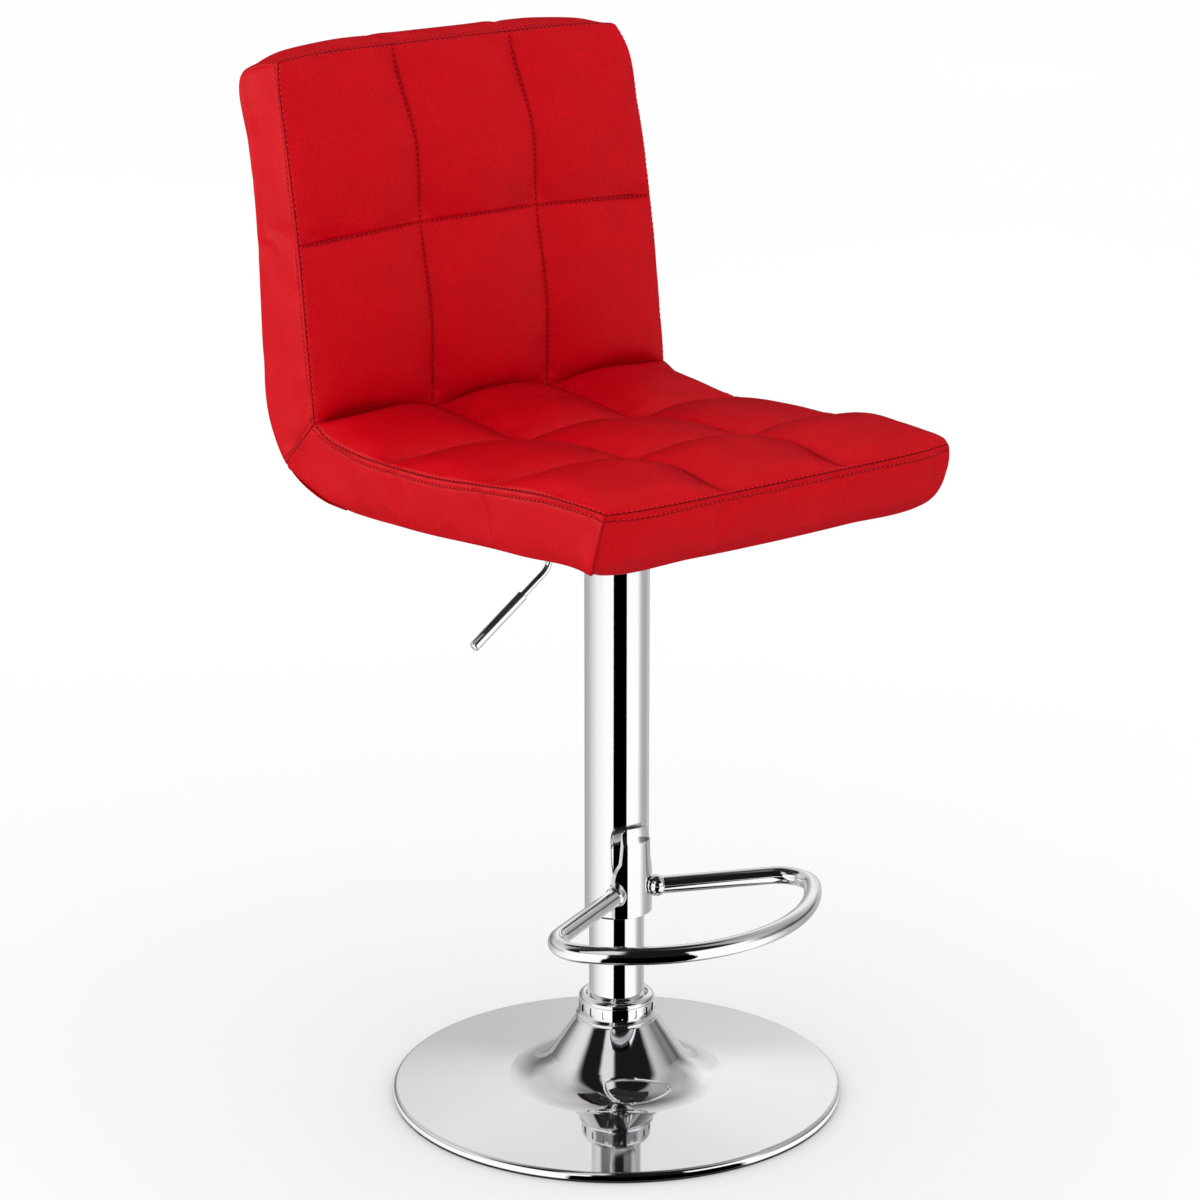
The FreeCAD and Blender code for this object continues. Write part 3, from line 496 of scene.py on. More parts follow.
# ---- seams raised from the panels
# Each profile: distance from the seam, then height of the fabric there. All end past PROFILE_END.
PANEL_EDGE = [(0, 0), (0.6, 0.35), (1.1, 0.3), (2.3, 1.1), (4.5, 0.8), (9, 0), (99, 0)]
BOXING_EDGE = [(0, 0), (0.7, 0.5), (2.8, 1.0), (4.8, 0.6), (5.8, -0.35), (6.8, 0.45), (9, 0.5), (15, 0),
               (99, 0)]
PLAIN_SEAM = [(0, 0), (0.7, 0.6), (2.0, 0.9), (4.0, 0.5), (7, 0), (99, 0)]
MITRE_SEAM = [(0, 0), (0.7, 0.5), (2.8, 0.9), (4.8, 0.5), (5.8, -0.3), (6.8, 0.35), (9, 0.2), (12, 0),
              (99, 0)]
PROFILE_END = 98
SEAM_WIDTH = 0.85  # half the width of the painted shade along a seam
PLAIN_SEAM_SHADE = 0.6  # how dark the painted shade along a plain seam is
# how dark the painted shade along a stitch row and along a quilt seam is
STITCH_ROW_SHADE = QUILT_SEAM_SHADE = 0.75
NEAR_SEAM = 8.0  # how far a seam creases the fabric
SEAM_RIM = 3.0  # how far from one seam the profile of another fades out
QUILT_PINCH = 1.1  # depth of a quilt seam's pinch
QUILT_PINCH_WIDTH = 1.4


def sewn(grid, edges, quilt_a=(), quilt_b=()):
    """Raises the fabric beside its seams: edges holds (axis, end, profile), and quilt_* the pinched lines.

    Returns the grid, how much painted shade each point gets along the seams and stitch rows, and how near it
    is to a seam, both from 0 to 1.
    """
    height, depth, near = np.zeros((3, *grid.shape[:2]))
    reaches = [np.minimum(from_edge(grid, axis, end), PROFILE_END) for axis, end, _ in edges]
    rims = [1 - hump(far, SEAM_RIM) for far in reaches]
    rim = np.prod([np.ones(grid.shape[:2]), *rims], axis=0)
    for i, (far, (_, _, profile)) in enumerate(zip(reaches, edges)):
        others = np.prod([np.ones(grid.shape[:2]), *rims[:i], *rims[i + 1:]], axis=0)
        height += smooth(profile, far.ravel()).reshape(far.shape) * others
        # depth is painted shade: dark along the seam line, and along the stitch row of a boxing seam.
        dark = PLAIN_SEAM_SHADE if profile is PLAIN_SEAM else 1.0
        depth = np.maximum(depth, dark * hump(far, SEAM_WIDTH))
        if profile in (BOXING_EDGE, MITRE_SEAM):
            depth = np.maximum(depth, STITCH_ROW_SHADE * hump(far - STITCH_ROW, SEAM_WIDTH))
        near = np.maximum(near, hump(far, NEAR_SEAM))
    for axis, lines in ((0, quilt_a), (1, quilt_b)):
        along = from_edge(grid, axis, 0)
        for line in lines:
            far = np.abs(along - np.take(along, [line], axis=axis))
            pinch = hump(far, QUILT_PINCH_WIDTH)
            height -= QUILT_PINCH * pinch * rim
            # Painted shade along the quilt seam.
            depth = np.maximum(depth, QUILT_SEAM_SHADE * hump(far, SEAM_WIDTH))
            near = np.maximum(near, hump(far, NEAR_SEAM))
    return grid + normals(grid) * height[..., None], depth, near


def line_inside(grid, end, distance):
    """Points and normals along the line at a distance inside the panel's first or last column."""
    if end:
        grid = grid[:, ::-1]
    facing = normals(grid) * (-1 if end else 1)
    far = from_edge(grid, 1, 0)
    rows = [zip(far, values) for values in (grid, facing)]
    points, out = ([[np.interp(distance, f, v[:, k]) for k in range(3)] for f, v in row] for row in rows)
    return np.array(points), unit(np.array(out))


# ---- making meshes
def grid_faces(rows, columns, start=0):
    i, j = np.meshgrid(np.arange(rows - 1), np.arange(columns - 1), indexing="ij")
    corner = (start + i * columns + j).ravel()
    return np.stack([corner, corner + columns, corner + columns + 1, corner + 1], -1)


def mesh_object(name, points, faces, material=None):
    mesh = bpy.data.meshes.new(name)
    mesh.from_pydata((np.asarray(points) * MM).tolist(), [], [list(map(int, face)) for face in faces])
    mesh.polygons.foreach_set("use_smooth", [True] * len(mesh.polygons))
    if material is not None:
        mesh.materials.append(material)
    piece = bpy.data.objects.new(name, mesh)
    bpy.context.scene.collection.objects.link(piece)
    return piece


def store(piece, title, values):
    """Keeps a number for each point of a mesh, for its material to read."""
    field = piece.data.attributes.new(title, "FLOAT", "POINT")
    field.data.foreach_set("value", np.asarray(values, np.float32))


def merged(grids):
    """One set of points and faces from several grids; points on shared seams become one."""
    grids = list(grids)
    points = np.concatenate([g.reshape(-1, 3) for g in grids])
    starts = np.cumsum([0] + [g.shape[0] * g.shape[1] for g in grids])
    faces = np.concatenate([grid_faces(*g.shape[:2], start) for g, start in zip(grids, starts)])
    _, first, same = np.unique(np.round(points, 3), axis=0, return_index=True, return_inverse=True)
    same = same.ravel()
    kept = [f for f in map(lambda row: list(dict.fromkeys(row)), same[faces].tolist()) if len(f) > 2]
    return points[first], kept, first, same


def face_outwards(mesh):
    work = bmesh.new()
    work.from_mesh(mesh)
    bmesh.ops.recalc_face_normals(work, faces=work.faces)
    work.to_mesh(mesh)
    work.free()


def cushion(name, panels, material):
    """One closed mesh from sewn panels, each a grid with its painted seam shade and its nearness to a seam.
    """
    points, faces, first, _ = merged(grid for grid, _, _ in panels)
    piece = mesh_object(name, points, faces, material)
    face_outwards(piece.data)
    for title, i in (("painted_seam_shade", 1), ("seam_near", 2)):
        store(piece, title, np.concatenate([p[i].ravel() for p in panels])[first])
    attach(piece, "seat")
    return piece


def unsewn(grid):
    return grid, np.zeros(grid.shape[:2]), np.zeros(grid.shape[:2])


STITCH_PITCH = 5.0
STITCH_LENGTH = 3.6
THREAD_R = 0.5
STITCH_LIFT = 0.15  # height of a thread's axis over the fabric
QUILT_LIFT = -0.15  # the same in a quilt seam
STITCH_SIDES = 7
STITCH_STEP = 0.5  # half the distance over which a thread's direction is taken
HALF_STITCH = [  # share of the length, share of the radius, depth in radii, how dark its painted shade is
    (0.5, 0.25, -0.9, 1.0), (0.4, 0.8, -0.3, 0.7), (0.2, 1.0, 0.0, 0.0),
]
STITCH_RINGS = [(-at, *rest) for at, *rest in HALF_STITCH] + HALF_STITCH[::-1]


def stitches(points, facing, pitch=STITCH_PITCH, length=STITCH_LENGTH, radius=THREAD_R, lift=STITCH_LIFT):
    """Short rounded threads along a line, as an array of stitch, ring, side; each dips in at both ends."""
    reach = np.concatenate([[0], np.cumsum(np.linalg.norm(np.diff(points, axis=0), axis=1))])

    def along_line(values, at):
        at = np.clip(at, 0, reach[-1])
        return np.stack([np.interp(at, reach, values[:, k]) for k in range(3)], -1)

    count = max(int(reach[-1] / pitch), 1)
    middle = (np.arange(count) + 0.5) * reach[-1] / count
    turn = (np.arange(STITCH_SIDES) * 2 * math.pi / STITCH_SIDES)[:, None]
    rings = []
    for offset, share, drop, _ in STITCH_RINGS:
        at = np.clip(middle + offset * length, 0, reach[-1])
        up = unit(along_line(facing, at))
        ahead = unit(along_line(points, at + STITCH_STEP) - along_line(points, at - STITCH_STEP))
        side = unit(np.cross(ahead, up))
        centre = along_line(points, at) + up * (lift + drop * radius)
        round_it = np.cos(turn) * side[:, None] + np.sin(turn) * up[:, None]
        rings.append(centre[:, None] + share * radius * round_it)
    return np.stack(rings, 1)


def thread_piece(name, groups, material):
    """One mesh of many separate threads, each closed at both ends."""
    solid = np.concatenate(groups)
    count, rings, sides = solid.shape[:3]
    faces = []
    for base in range(0, count * rings * sides, rings * sides):
        for low in range(base, base + (rings - 1) * sides, sides):
            for i in range(sides):
                j = (i + 1) % sides
                faces.append([low + i, low + j, low + sides + j, low + sides + i])
        faces.append([base + i for i in reversed(range(sides))])
        faces.append([base + (rings - 1) * sides + i for i in range(sides)])
    piece = mesh_object(name, solid.reshape(-1, 3), faces, material)
    # Painted shade for each ring: dark where a thread dips into the fabric.
    store(piece, "thread_end_shade", np.tile(np.repeat([ring[-1] for ring in STITCH_RINGS], sides), count))
    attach(piece, "seat")
    return piece


# ---- materials
def add(tree, kind, links=None, **settings):
    """A shader node; links gives its inputs, each a socket to join or a value."""
    node = tree.nodes.new("ShaderNode" + kind)
    for key, value in settings.items():
        setattr(node, key, value)
    for key, value in (links or {}).items():
        if isinstance(value, bpy.types.NodeSocket):
            tree.links.new(value, node.inputs[key])
        else:
            node.inputs[key].default_value = value
    return node


def noise(tree, place, scale, detail=3.0, roughness=0.5):
    links = {"Vector": place, "Scale": scale, "Detail": detail, "Roughness": roughness}
    return add(tree, "TexNoise", links).outputs["Fac"]


def waves(tree, place, way, scale, distortion):
    links = {"Vector": place, "Scale": scale, "Distortion": distortion}
    return add(tree, "TexWave", links, bands_direction=way).outputs["Fac"]


def between(tree, amount, low, high):
    """A number from low to high as amount goes from 0 to 1."""
    return add(tree, "MapRange", {"Value": amount, "To Min": low, "To Max": high}).outputs["Result"]


def total(tree, one, other, clamp=False):
    return add(tree, "Math", {0: one, 1: other}, operation="ADD", use_clamp=clamp).outputs[0]


def blend_colors(tree, amount, first, second):
    first, second = ((*tone, 1) if isinstance(tone, tuple) else tone for tone in (first, second))
    return add(tree, "Mix", {0: amount, 6: first, 7: second}, data_type="RGBA").outputs[2]


def bump(tree, height, distance, strength=1.0, under=None):
    node = add(tree, "Bump", {"Height": height, "Distance": distance, "Strength": strength})
    if under is not None:
        tree.links.new(under, node.inputs["Normal"])
    return node.outputs["Normal"]


def start_finish(name, **constants):
    """A new material, its tree and the object's own coordinates."""
    material = bpy.data.materials.new(name)
    material.use_nodes = True
    tree = material.node_tree
    shader = tree.nodes["Principled BSDF"]
    for key, value in constants.items():
        shader.inputs[key.replace("_", " ")].default_value = value
    place = add(tree, "TexCoord").outputs["Object"]
    return material, tree, place


def made(material, tone, rough, facing=None):
    """The material with its shader's colour, roughness and normal joined up."""
    shader = material.node_tree.nodes["Principled BSDF"]
    for key, socket in (("Base Color", tone), ("Roughness", rough), ("Normal", facing)):
        if socket is not None:
            material.node_tree.links.new(socket, shader.inputs[key])
    return material


def leather_finish():
    """Red coated leather: pebble grain, soft creasing by the seams and painted shade along the seams and
    stitch rows.
    """
    material, tree, place = start_finish("red_leather_finish", Specular_IOR_Level=0.08)
    seam = add(tree, "Attribute", attribute_name="painted_seam_shade").outputs["Fac"]
    near = add(tree, "Attribute", attribute_name="seam_near").outputs["Fac"]
    warp = add(tree, "TexNoise", {"Vector": place, "Scale": 350.0, "Detail": 2.0}).outputs["Color"]
    links = {"Fac": 0.0012, "Color1": place, "Color2": warp}
    bent = add(tree, "MixRGB", links, blend_type="ADD").outputs["Color"]
    links = {"Vector": bent, "Scale": 440.0, "Smoothness": 0.3}
    pebbles = add(tree, "TexVoronoi", links, feature="SMOOTH_F1").outputs["Distance"]
    pores = noise(tree, place, 2600.0, 2.0)
    folds = noise(tree, place, 95.0, 3.0)
    drape = noise(tree, place, 22.0, 2.0)
    patches = noise(tree, place, 34.0, 4.0)
    valley = between(tree, pebbles, 0.0, 1.0)
    tone = blend_colors(tree, patches, (0.44, 0.0, 0.0045), (0.6, 0.0, 0.0065))
    tone = blend_colors(tree, between(tree, pebbles, 0.0, 0.8), tone, (0.36, 0.0, 0.003))
    # Painted shade: darker along the seams and stitch rows.
    tone = blend_colors(tree, between(tree, seam, 0.0, 0.9), tone, (0.085, 0.0, 0.0015))
    facing = bump(tree, drape, 0.0018, 0.5)
    facing = bump(tree, folds, 0.0010, between(tree, near, 0.05, 0.6), facing)
    facing = bump(tree, valley, 0.0006, -1.0, facing)
    facing = bump(tree, pores, 0.00004, 0.5, facing)
    rough = between(tree, patches, 0.38, 0.5)
    rough = total(tree, rough, between(tree, pebbles, -0.03, 0.08))
    rough = total(tree, rough, between(tree, seam, 0.0, 0.45), clamp=True)
    return made(material, tone, rough, facing)


def thread_finish():
    """Twisted polyester thread, a little darker than the leather, with painted shade at its ends where they
    dip into the fabric.
    """
    material, tree, place = start_finish("red_thread_finish", Specular_IOR_Level=0.2)
    twist = noise(tree, place, 1800.0, 2.0)
    tone = blend_colors(tree, twist, (0.55, 0.001, 0.006), (0.75, 0.006, 0.014))
    end_shade = add(tree, "Attribute", attribute_name="thread_end_shade").outputs["Fac"]
    # Painted shade at the thread's ends, where they dip into the fabric.
    tone = blend_colors(tree, between(tree, end_shade, 0.0, 0.95), tone, (0.04, 0.0, 0.001))
    facing = bump(tree, twist, 0.0002, 0.8)
    return made(material, tone, between(tree, twist, 0.5, 0.7), facing)


def chrome_finish():
    """Bright chrome plate with faint waviness and handling marks."""
    material, tree, place = start_finish("chrome_finish", Metallic=1.0)
    marks = noise(tree, place, 14.0, 5.0, 0.6)
    wave = noise(tree, place, 9.0, 1.0)
    fine = noise(tree, place, 900.0, 2.0)
    tone = blend_colors(tree, marks, (0.86, 0.87, 0.885), (0.91, 0.915, 0.92))
    facing = bump(tree, wave, 0.0004, 0.12)
    facing = bump(tree, fine, 0.00001, 0.15, facing)
    return made(material, tone, between(tree, marks, 0.02, 0.075), facing)


def mottled_finish(name, specular, grain, relief, patches, tones, roughness):
    """Even material: grain and patches are noises, relief a bump's distance and strength."""
    material, tree, place = start_finish(name, Specular_IOR_Level=specular)
    fine, mottle = noise(tree, place, *grain), noise(tree, place, *patches)
    tone = blend_colors(tree, mottle, *tones)
    rough = between(tree, mottle, *roughness)
    return made(material, tone, rough, bump(tree, fine, *relief))


def zinc_finish():
    """Zinc-plated steel: fine drawn marks and cloudy patches."""
    material, tree, place = start_finish("zinc_steel_finish", Metallic=1.0)
    stretched = add(tree, "Mapping", {"Vector": place, "Scale": (1.0, 1.0, 14.0)}).outputs["Vector"]
    drawn = noise(tree, stretched, 300.0, 3.0)
    clouds = noise(tree, place, 45.0, 4.0)
    tone = blend_colors(tree, clouds, (0.5, 0.51, 0.53), (0.72, 0.72, 0.7))
    facing = bump(tree, drawn, 0.00005, 0.5)
    return made(material, tone, between(tree, clouds, 0.25, 0.45), facing)


def plywood_finish():
    """Birch plywood: long grain with plies across the edges."""
    material, tree, place = start_finish("plywood_finish", Specular_IOR_Level=0.3)
    long = add(tree, "Mapping", {"Vector": place, "Scale": (1.0, 0.06, 0.06)}).outputs["Vector"]
    grain = noise(tree, long, 260.0, 6.0, 0.65)
    plies = waves(tree, place, "Z", 90.0, 0.6)
    tone = blend_colors(tree, grain, (0.42, 0.26, 0.13), (0.68, 0.5, 0.3))
    tone = blend_colors(tree, between(tree, plies, 0.0, 0.35), tone, (0.3, 0.18, 0.09))
    facing = bump(tree, grain, 0.0002, 0.4)
    return made(material, tone, between(tree, grain, 0.55, 0.75), facing)


def cloth_finish():
    """Black spun-bonded dust cloth: a fine embossed weave with stray fibres."""
    constants = {"Specular_IOR_Level": 0.2, "Sheen_Weight": 0.25}
    material, tree, place = start_finish("black_cloth_finish", **constants)
    yarns = [waves(tree, place, way, 260.0, 0.5) for way in "XY"]
    weave = add(tree, "Math", dict(enumerate(yarns)), operation="MULTIPLY").outputs[0]
    fibres = noise(tree, place, 190.0, 6.0, 0.7)
    tone = blend_colors(tree, fibres, (0.008, 0.008, 0.009), (0.035, 0.035, 0.037))
    facing = bump(tree, weave, 0.0003, 0.7, bump(tree, fibres, 0.0004, 0.3))
    return made(material, tone, between(tree, fibres, 0.8, 0.95), facing)


def foam_finish():
    """Cream polyurethane foam with open cells."""
    material, tree, place = start_finish("foam_finish", Specular_IOR_Level=0.15)
    open_cells = add(tree, "TexVoronoi", {"Vector": place, "Scale": 900.0}).outputs["Distance"]
    patches = noise(tree, place, 20.0, 4.0)
    tone = blend_colors(tree, patches, (0.72, 0.64, 0.42), (0.84, 0.78, 0.58))
    facing = bump(tree, open_cells, 0.0004, 0.8)
    return made(material, tone, between(tree, patches, 0.85, 0.95), facing)


leather = leather_finish()
thread = thread_finish()
FINISHES = {
    "chrome": chrome_finish(),
    "black_enamel": mottled_finish(  # stoved enamel with orange peel and dust
        "black_enamel_finish", 0.45, (420.0, 2.0), (0.00012, 0.5), (60.0, 6.0, 0.7),
        ((0.012, 0.012, 0.013), (0.032, 0.032, 0.034)), (0.32, 0.5),
    ),
    "zinc_steel": zinc_finish(),
    "black_plastic": mottled_finish(  # with a fine spark-eroded texture
        "black_plastic_finish", 0.4, (1400.0, 2.0), (0.00008, 0.6), (30.0, 4.0),
        ((0.012, 0.012, 0.012), (0.028, 0.028, 0.027)), (0.45, 0.6),
    ),
    "black_rubber": mottled_finish(  # with a dusty bloom
        "black_rubber_finish", 0.25, (700.0, 2.0), (0.0001, 0.5), (80.0, 5.0, 0.65),
        ((0.014, 0.014, 0.014), (0.04, 0.039, 0.037)), (0.7, 0.9),
    ),
    "plywood": plywood_finish(),
    "black_cloth": cloth_finish(),
    "foam": foam_finish(),
    "red_leather": leather,
}
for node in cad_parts.values():
    for place in node.material_slots:
        place.material = FINISHES[place.material.name]

# ---- the two cushions
seat = filled_out("seat_swell", seat_panels, "top", ("front", "left", "right"), "seat")
back = filled_out("back_swell", back_panels, "front", ("top", "left", "right"), "back")
part_at_crease(seat, back)
QUILT_A = QUILT_SEAT = (LINES_PER_CELL, 2 * LINES_PER_CELL)  # lines of the quilt seams, along and across
QUILT_BACK = (LINES_PER_CELL,)
QUILT_SIDES = [(0, 0, PANEL_EDGE), (0, 1, PANEL_EDGE)]
SEAT_BOX_SEAMS = [(1, 0, BOXING_EDGE), (0, 0, PLAIN_SEAM), (0, 1, PLAIN_SEAM)]
seat_sewn = {
    "top": sewn(seat["top"], [*QUILT_SIDES, (1, 0, PANEL_EDGE)], QUILT_A, QUILT_SEAT),
    **{key: sewn(seat[key], SEAT_BOX_SEAMS) for key in ("front", "left", "right")},
    **{key: unsewn(seat[key]) for key in ("rear", "bottom")},
}
BACK_SIDE_SEAMS = [(1, 0, BOXING_EDGE), (1, 1, PLAIN_SEAM), (0, 1, PLAIN_SEAM), (0, 0, MITRE_SEAM)]
back_sewn = {
    "front": sewn(back["front"], [*QUILT_SIDES, (1, 1, PANEL_EDGE)], QUILT_A, QUILT_BACK),
    **{key: sewn(back[key], BACK_SIDE_SEAMS) for key in ("left", "right")},
    "top": sewn(back["top"], [*SEAT_BOX_SEAMS, (1, 1, PLAIN_SEAM)]),
    "rear": sewn(back["rear"], [(0, 0, PLAIN_SEAM), (0, 1, PLAIN_SEAM), (1, 0, PLAIN_SEAM)]),
    **{key: unsewn(back[key]) for key in ("bottom", "lining")},
}
seat_cushion = cushion("seat_cushion", list(seat_sewn.values()), leather)
back_cushion = cushion("back_cushion", list(back_sewn.values()), leather)
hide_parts("seat_foam", "seat_top_panel", "seat_front_boxing",
            "seat_boxing_left", "seat_boxing_right")
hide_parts("back_foam", "back_front_panel", "back_top_boxing",
            "back_boxing_left", "back_boxing_right", "back_rear_panel")


SKIP = 9  # lines at a row's ends that lie inside the neighbouring seam
HIDDEN_SKIP = 3  # the same on the quilted panels


def turned(grid):
    return grid.swapaxes(0, 1)


def row_of_stitches(grid, sign, end=0, distance=STITCH_ROW, skip=SKIP):
    """Topstitching at a distance inside a panel's first or last column; sign makes its normal face out."""
    points, facing = line_inside(grid, end, distance)
    last = len(points) - skip
    return stitches(points[skip:last], facing[skip:last] * sign)


def quilt_stitches(grid, line, sign):
    return stitches(grid[:, line], normals(grid)[:, line] * sign, lift=QUILT_LIFT)


def rows_on_quilt(grid, end, seams):
    """The puckers inside a quilted panel's edge seams, then the stitches of its quilt seams."""
    rows = [row_of_stitches(grid, 1, end, HIDDEN_ROW, HIDDEN_SKIP)]
    rows += [row_of_stitches(turned(grid), -1, side, HIDDEN_ROW, HIDDEN_SKIP) for side in (0, 1)]
    rows += [quilt_stitches(turned(grid), line, -1) for line in QUILT_A]
    return rows + [quilt_stitches(grid, line, 1) for line in seams]


sides = ("left", 1), ("right", -1)
seat_rows = [row_of_stitches(seat_sewn[key][0], sign) for key, sign in (("front", -1), *sides)]
seat_rows += rows_on_quilt(seat_sewn["top"][0], 0, QUILT_SEAT)
back_rows = [row_of_stitches(back_sewn[key][0], sign) for key, sign in (("top", 1), *sides)]
back_rows += [row_of_stitches(turned(back_sewn[key][0]), -sign) for key, sign in sides]
back_rows += rows_on_quilt(back_sewn["front"][0], 1, QUILT_BACK)
threads = [thread_piece("seat_stitching", seat_rows, thread),
           thread_piece("back_stitching", back_rows, thread)]

# ---- dust cloth under the seat
CLOTH_T = 0.5
CLOTH_SIDE = INSET - 9
CLOTH_FRONT = FRONT + 30
CLOTH_REAR = FLAP + 7
CLOTH_LINES = 91
CLOTH_GAP = 0.4  # distance of the cloth's lower face below the seat
CLOTH_SAG = 2.2  # how far it hangs between its staples and the plate
SAG_WIDTH = 95.0  # distance over which it comes back up
PUCKER = 0.25
PUCKER_WIDTH = 18.0
HEM, HEM_T, HEM_R = 12.0, 0.5, 0.8  # width and thickness of the folded hem, and the rounding of its edges
EDGE_TURN = 0.3  # how far the cloth's very edge turns up
UNDER_EDGE = [(FRONT + 19, LIP + 0.5), *(row[2:] for row in OUTER_EDGE[1:5])]  # y, z of the cover's edge
UNDER_FLAT, UNDER_SLOPE = 130, 45  # x where the underside leaves its plane, and how soon it meets that edge
EDGE_RISE = 1.2  # how far it stays above the edge


def under_height(x, y):
    """Height of the seat's underside, with the edges of the cover at its sides."""
    plane = UNDER + (LIP - UNDER) * (FLAP - y) / (FLAP - UNDER_FRONT)
    edge = np.interp(y, *zip(*UNDER_EDGE))
    side = np.clip((np.abs(x) - UNDER_FLAT) / UNDER_SLOPE, 0, 1) ** 2
    return plane + (edge + EDGE_RISE - plane) * side


def dust_cloth():
    """Closed thin sheet with a folded hem, hanging a little between its staples and the plate."""
    across = np.linspace(-CLOTH_SIDE, CLOTH_SIDE, CLOTH_LINES)
    along = np.linspace(CLOTH_FRONT, CLOTH_REAR, CLOTH_LINES)
    x, y = np.meshgrid(across, along, indexing="ij")
    inside = np.minimum(CLOTH_SIDE - np.abs(x), np.minimum(y - CLOTH_FRONT, CLOTH_REAR - y))
    pucker = np.sin((x + 1.3 * y) / 9.0) * np.sin((x - 0.8 * y) / 13.0)
    sag = CLOTH_SAG * np.sin(math.pi * np.clip(inside / SAG_WIDTH, 0, 1)) ** 2 * (1 + PUCKER * pucker)
    sag += PUCKER * pucker * hump(inside, PUCKER_WIDTH)
    low = under_height(x, y) - CLOTH_GAP - sag
    low -= HEM_T * np.clip((HEM - inside) / HEM_R, 0, 1)
    low += EDGE_TURN * hump(inside, HEM_R)
    bottom = np.stack([x, y, low], -1)
    top = np.stack([x, y, low + CLOTH_T], -1)
    sides = (bottom, top), (bottom.swapaxes(0, 1), top.swapaxes(0, 1))
    rims = [np.stack([one[i], other[i]]) for one, other in sides for i in (0, -1)]
    points, faces, _, _ = merged([bottom, top, *rims])
    piece = mesh_object("dust_cloth", points, faces, FINISHES["black_cloth"])
    face_outwards(piece.data)
    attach(piece, "seat")
    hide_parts("underside_cloth")
    return piece, bottom


cloth, cloth_bottom = dust_cloth()
STAPLE_LINE = 2  # line of the cloth that the staples lie on, counted from each edge
STAPLE_SKIP = 4  # lines without staples at each corner
STAPLE_SIZES = (38.0, 9.0, 0.45, 0.2)  # pitch, length, radius of the wire, height of its axis over the cloth
rows = [side[i] for side in (cloth_bottom, turned(cloth_bottom)) for i in (STAPLE_LINE, -1 - STAPLE_LINE)]
rows = [row[STAPLE_SKIP:-STAPLE_SKIP] for row in rows]
staples = [stitches(row, np.tile(-Z, (len(row), 1)), *STAPLE_SIZES) for row in rows]
staple_piece = thread_piece("dust_cloth_staples", staples, FINISHES["zinc_steel"])

# ---- studio
scene = bpy.context.scene
scene.view_settings.view_transform = "Standard"
world = bpy.data.worlds.new("studio")
world.use_nodes = True
world.node_tree.nodes["Background"].inputs["Color"].default_value = (1, 1, 1, 1)
world.node_tree.nodes["Background"].inputs["Strength"].default_value = 1.08
scene.world = world
world.cycles_visibility.glossy = False
FLOOR_HALF = 9000.0


def floor_finish():
    material, tree, place = start_finish("floor_finish", Specular_IOR_Level=0.1)
    cloud = noise(tree, place, 0.8, 2.0)
    tone = blend_colors(tree, cloud, (0.95, 0.95, 0.95), (0.97, 0.97, 0.97))
    return made(material, tone, between(tree, cloud, 0.7, 0.8))


corners = [(x * FLOOR_HALF, y * FLOOR_HALF, 0) for x, y in ((-1, -1), (1, -1), (1, 1), (-1, 1))]
mesh_object("floor", corners, [[0, 1, 2, 3]], floor_finish())


def glow_finish(name):
    """Unlit card whose brightness is stored on its points."""
    material = bpy.data.materials.new(name)
    material.use_nodes = True
    tree = material.node_tree
    tree.nodes.clear()
    shade = add(tree, "Attribute", attribute_name="glow").outputs["Fac"]
    light = add(tree, "Emission", {"Color": (1, 1, 1, 1), "Strength": shade})
    tree.links.new(light.outputs[0], add(tree, "OutputMaterial").inputs["Surface"])
    return material


# The cards light only the CAD pieces, and the lamps only the upholstery. The cushions aren't mirrored.
mirrors = bpy.data.collections.new("mirrors")
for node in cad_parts.values():
    mirrors.objects.link(node)
upholstery = bpy.data.collections.new("upholstery")
for piece in (seat_cushion, back_cushion, *threads, cloth, staple_piece):
    upholstery.objects.link(piece)
    piece.visible_glossy = piece in (cloth, staple_piece)


def card(name, points, faces, glow):
    """Something that only the chrome sees: it lights and hides nothing else."""
    piece = mesh_object(name, points, faces, glow_finish(name + "_finish"))
    store(piece, "glow", glow)
    for ray in ("camera", "diffuse", "transmission", "volume_scatter", "shadow"):
        setattr(piece, "visible_" + ray, False)
    piece.light_linking.receiver_collection = mirrors


# What the chrome mirrors, by direction. Turns are in degrees, anticlockwise from above, and 0 points from
# the camera to the stool. The studio is dark behind the camera, apart from two upright softboxes.
AWAY = math.degrees(math.atan2(0.783, 0.622))  # the camera's direction in plan
# Turn, then the glow of the floor and of the region behind the camera.
LOW_GLOW = [(-180, 0.0), (-147, 0.0), (-145, 1.1), (-104, 1.1), (-85, 0.5), (-65, 0.4), (-30, 0.6), (0, 0.35),
            (60, 0.5), (105, 0.95), (140, 1.1), (166.5, 1.1), (168, 0.0), (180, 0.0)]
WALL_TURNS = [-105, -72, -48, -24, 0, 24, 48, 84, 105]
WALL_GLOW = [  # height in degrees, then the glow at each of the turns above
    (0, [0.30, 0.10, 0.15, 0.75, 0.45, 0.15, 0.12, 0.40, 0.45]),
    (9, [0.30, 0.08, 0.10, 0.80, 0.60, 0.18, 0.25, 0.55, 0.55]),
    (18, [0.45, 0.12, 0.50, 0.88, 0.68, 0.30, 0.60, 0.75, 0.75]),
    (22, [0.50, 0.25, 0.50, 0.98, 0.95, 0.35, 0.60, 0.80, 0.80]),
    (30, [0.60, 0.40, 0.40, 0.90, 0.90, 0.65, 0.60, 0.80, 0.80]),
    (50, [0.60, 0.35, 0.50, 0.30, 0.45, 0.65, 0.60, 0.65, 0.20]),
    (64, [0.30, 0.40, 0.20, 0.04, 0.08, 0.50, 0.50, 0.25, 0.30]),
    (75, [0.20, 0.20, 0.08, 0.02, 0.03, 0.10, 0.15, 0.15, 0.20]),
    (90, [0.01] * 9),
]
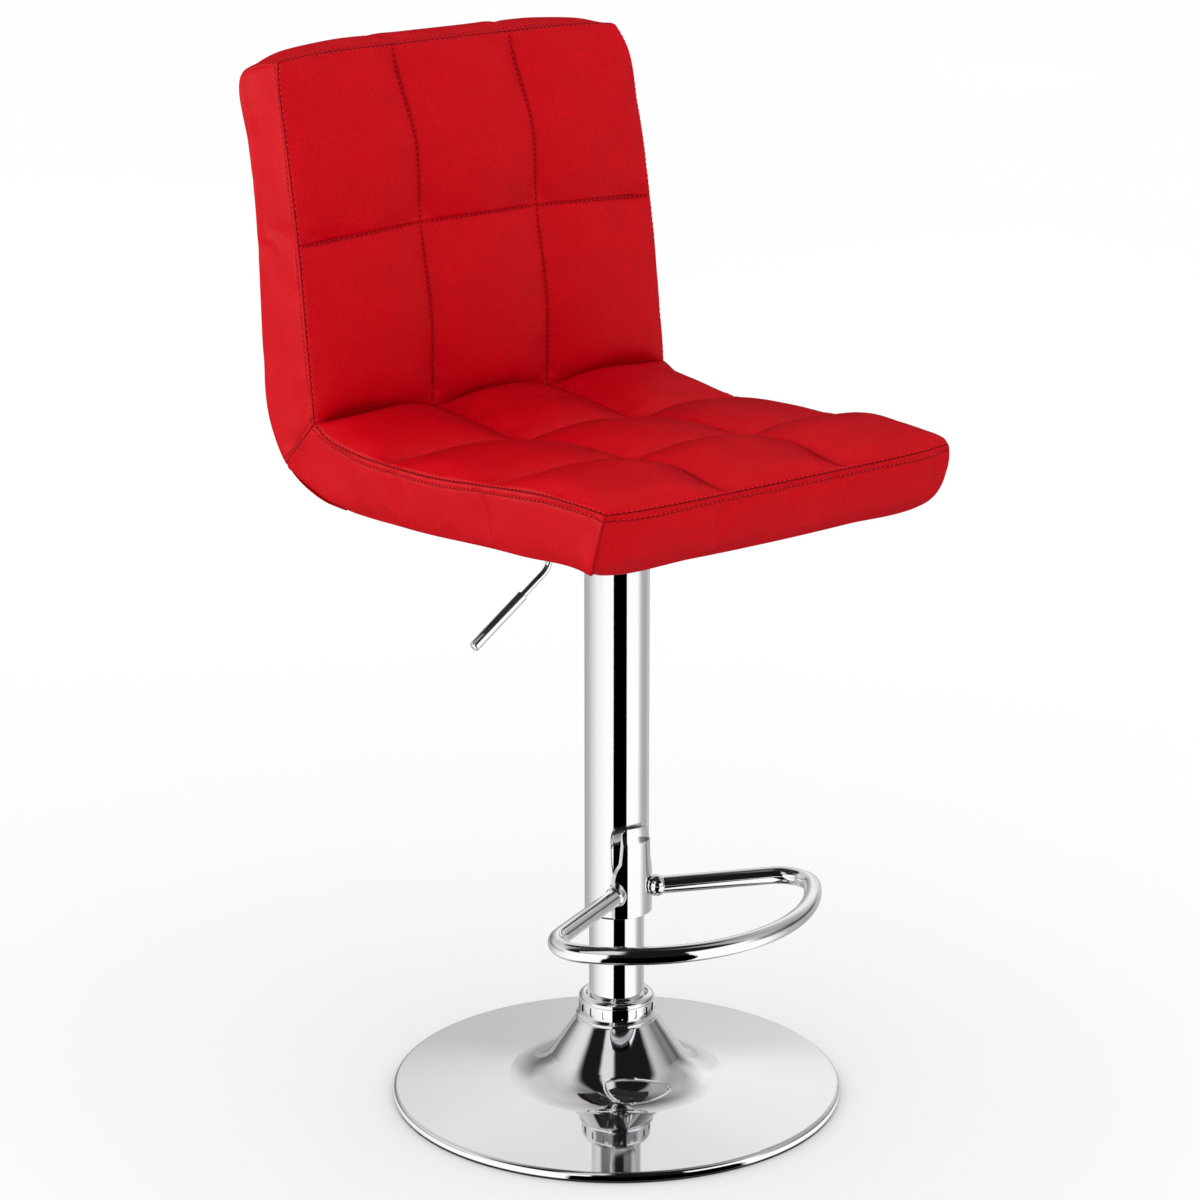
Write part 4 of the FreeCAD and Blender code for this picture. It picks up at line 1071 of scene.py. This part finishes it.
SOFTBOX = (147, 174, 36, 86, 0.75)  # turns from and to, heights from and to, glow
BEHIND = (96, 112)  # turns over which the wall gives way to the region behind the camera
BEHIND_TOP = (26, 36)  # heights over which that region darkens
DARK = 0.01


def eased(x, low, high):
    t = np.clip((x - low) / (high - low), 0, 1)
    return t * t * (3 - 2 * t)


def studio_glow(turn, height):
    """Brightness of the studio in a direction, before exposure."""
    low = np.interp(turn, *zip(*LOW_GLOW))
    rows = np.stack([np.interp(turn, WALL_TURNS, row) for _, row in WALL_GLOW])
    heights = [h for h, _ in WALL_GLOW]
    wall = np.array([np.interp(h, heights, rows[:, i]) for i, h in enumerate(height)])
    left, right, bottom, top, glow = SOFTBOX
    inside = eased(turn, left - 4, left + 4) * (1 - eased(turn, right - 4, right + 4))
    box = glow * inside * eased(height, bottom - 3, bottom + 3) * (1 - eased(height, top - 6, top + 6))
    behind = np.maximum(low * (1 - eased(height, *BEHIND_TOP)), box) + DARK
    share = eased(np.abs(turn), *BEHIND)
    return wall * (1 - share) + behind * share


GLOW_NEAR = 208.0  # the floor card starts just outside the base
GLOW_FAR = 8800.0
DOME_R = GLOW_FAR + 100
GLOW_STEP = 3.0  # degrees between the cards' points


def reflections():
    """A floor and a dome that only the chrome sees."""
    turns = np.unique(np.concatenate([np.arange(-180, 180.1, GLOW_STEP), [t for t, _ in LOW_GLOW]]))
    angle = np.radians(AWAY + turns)
    ways = np.stack([np.cos(angle), np.sin(angle)], -1)
    ones = np.ones(len(turns))
    floor_points = [np.column_stack([ways * r, ones]) for r in (GLOW_NEAR, GLOW_FAR)]
    low = np.interp(turns, *zip(*LOW_GLOW))
    card("floor_reflection", np.concatenate(floor_points), grid_faces(2, len(turns)), np.tile(low, 2))
    heights = np.arange(0, 90.1, GLOW_STEP)
    dome = [np.column_stack([ways * math.cos(h), ones * math.sin(h)]) for h in np.radians(heights)]
    glow = [studio_glow(turns, ones * h) for h in heights]
    faces = grid_faces(len(heights), len(turns))
    card("dome_reflection", np.concatenate(dome) * DOME_R, faces, np.concatenate(glow))


reflections()
LAMP_AIM = Vector((0, 0, 0.6))


def soft_light(name, place, size, energy, glossy):
    """A square lamp for the upholstery; glossy says whether it also makes highlights."""
    light = bpy.data.lights.new(name, "AREA")
    light.size = size
    light.energy = energy
    lamp = bpy.data.objects.new(name, light)
    scene.collection.objects.link(lamp)
    lamp.location = place
    lamp.rotation_euler = (LAMP_AIM - lamp.location).to_track_quat("-Z", "Y").to_euler()
    lamp.light_linking.receiver_collection = upholstery
    lamp.visible_glossy = glossy


soft_light("softbox_left", (-2.4, 1.5, 1.1), 1.8, 45, True)
soft_light("softbox_front", (-0.6, -3.2, 2.4), 1.4, 34, False)

camera_data = bpy.data.cameras.new("camera")
camera_data.lens = 117.5
camera_data.sensor_width = 36
camera = bpy.data.objects.new("camera", camera_data)
camera.location = (-2.0797, -2.5931, 1.457)
camera.rotation_euler = (math.radians(73.44), 0, math.radians(-38.47))
scene.collection.objects.link(camera)
scene.camera = camera
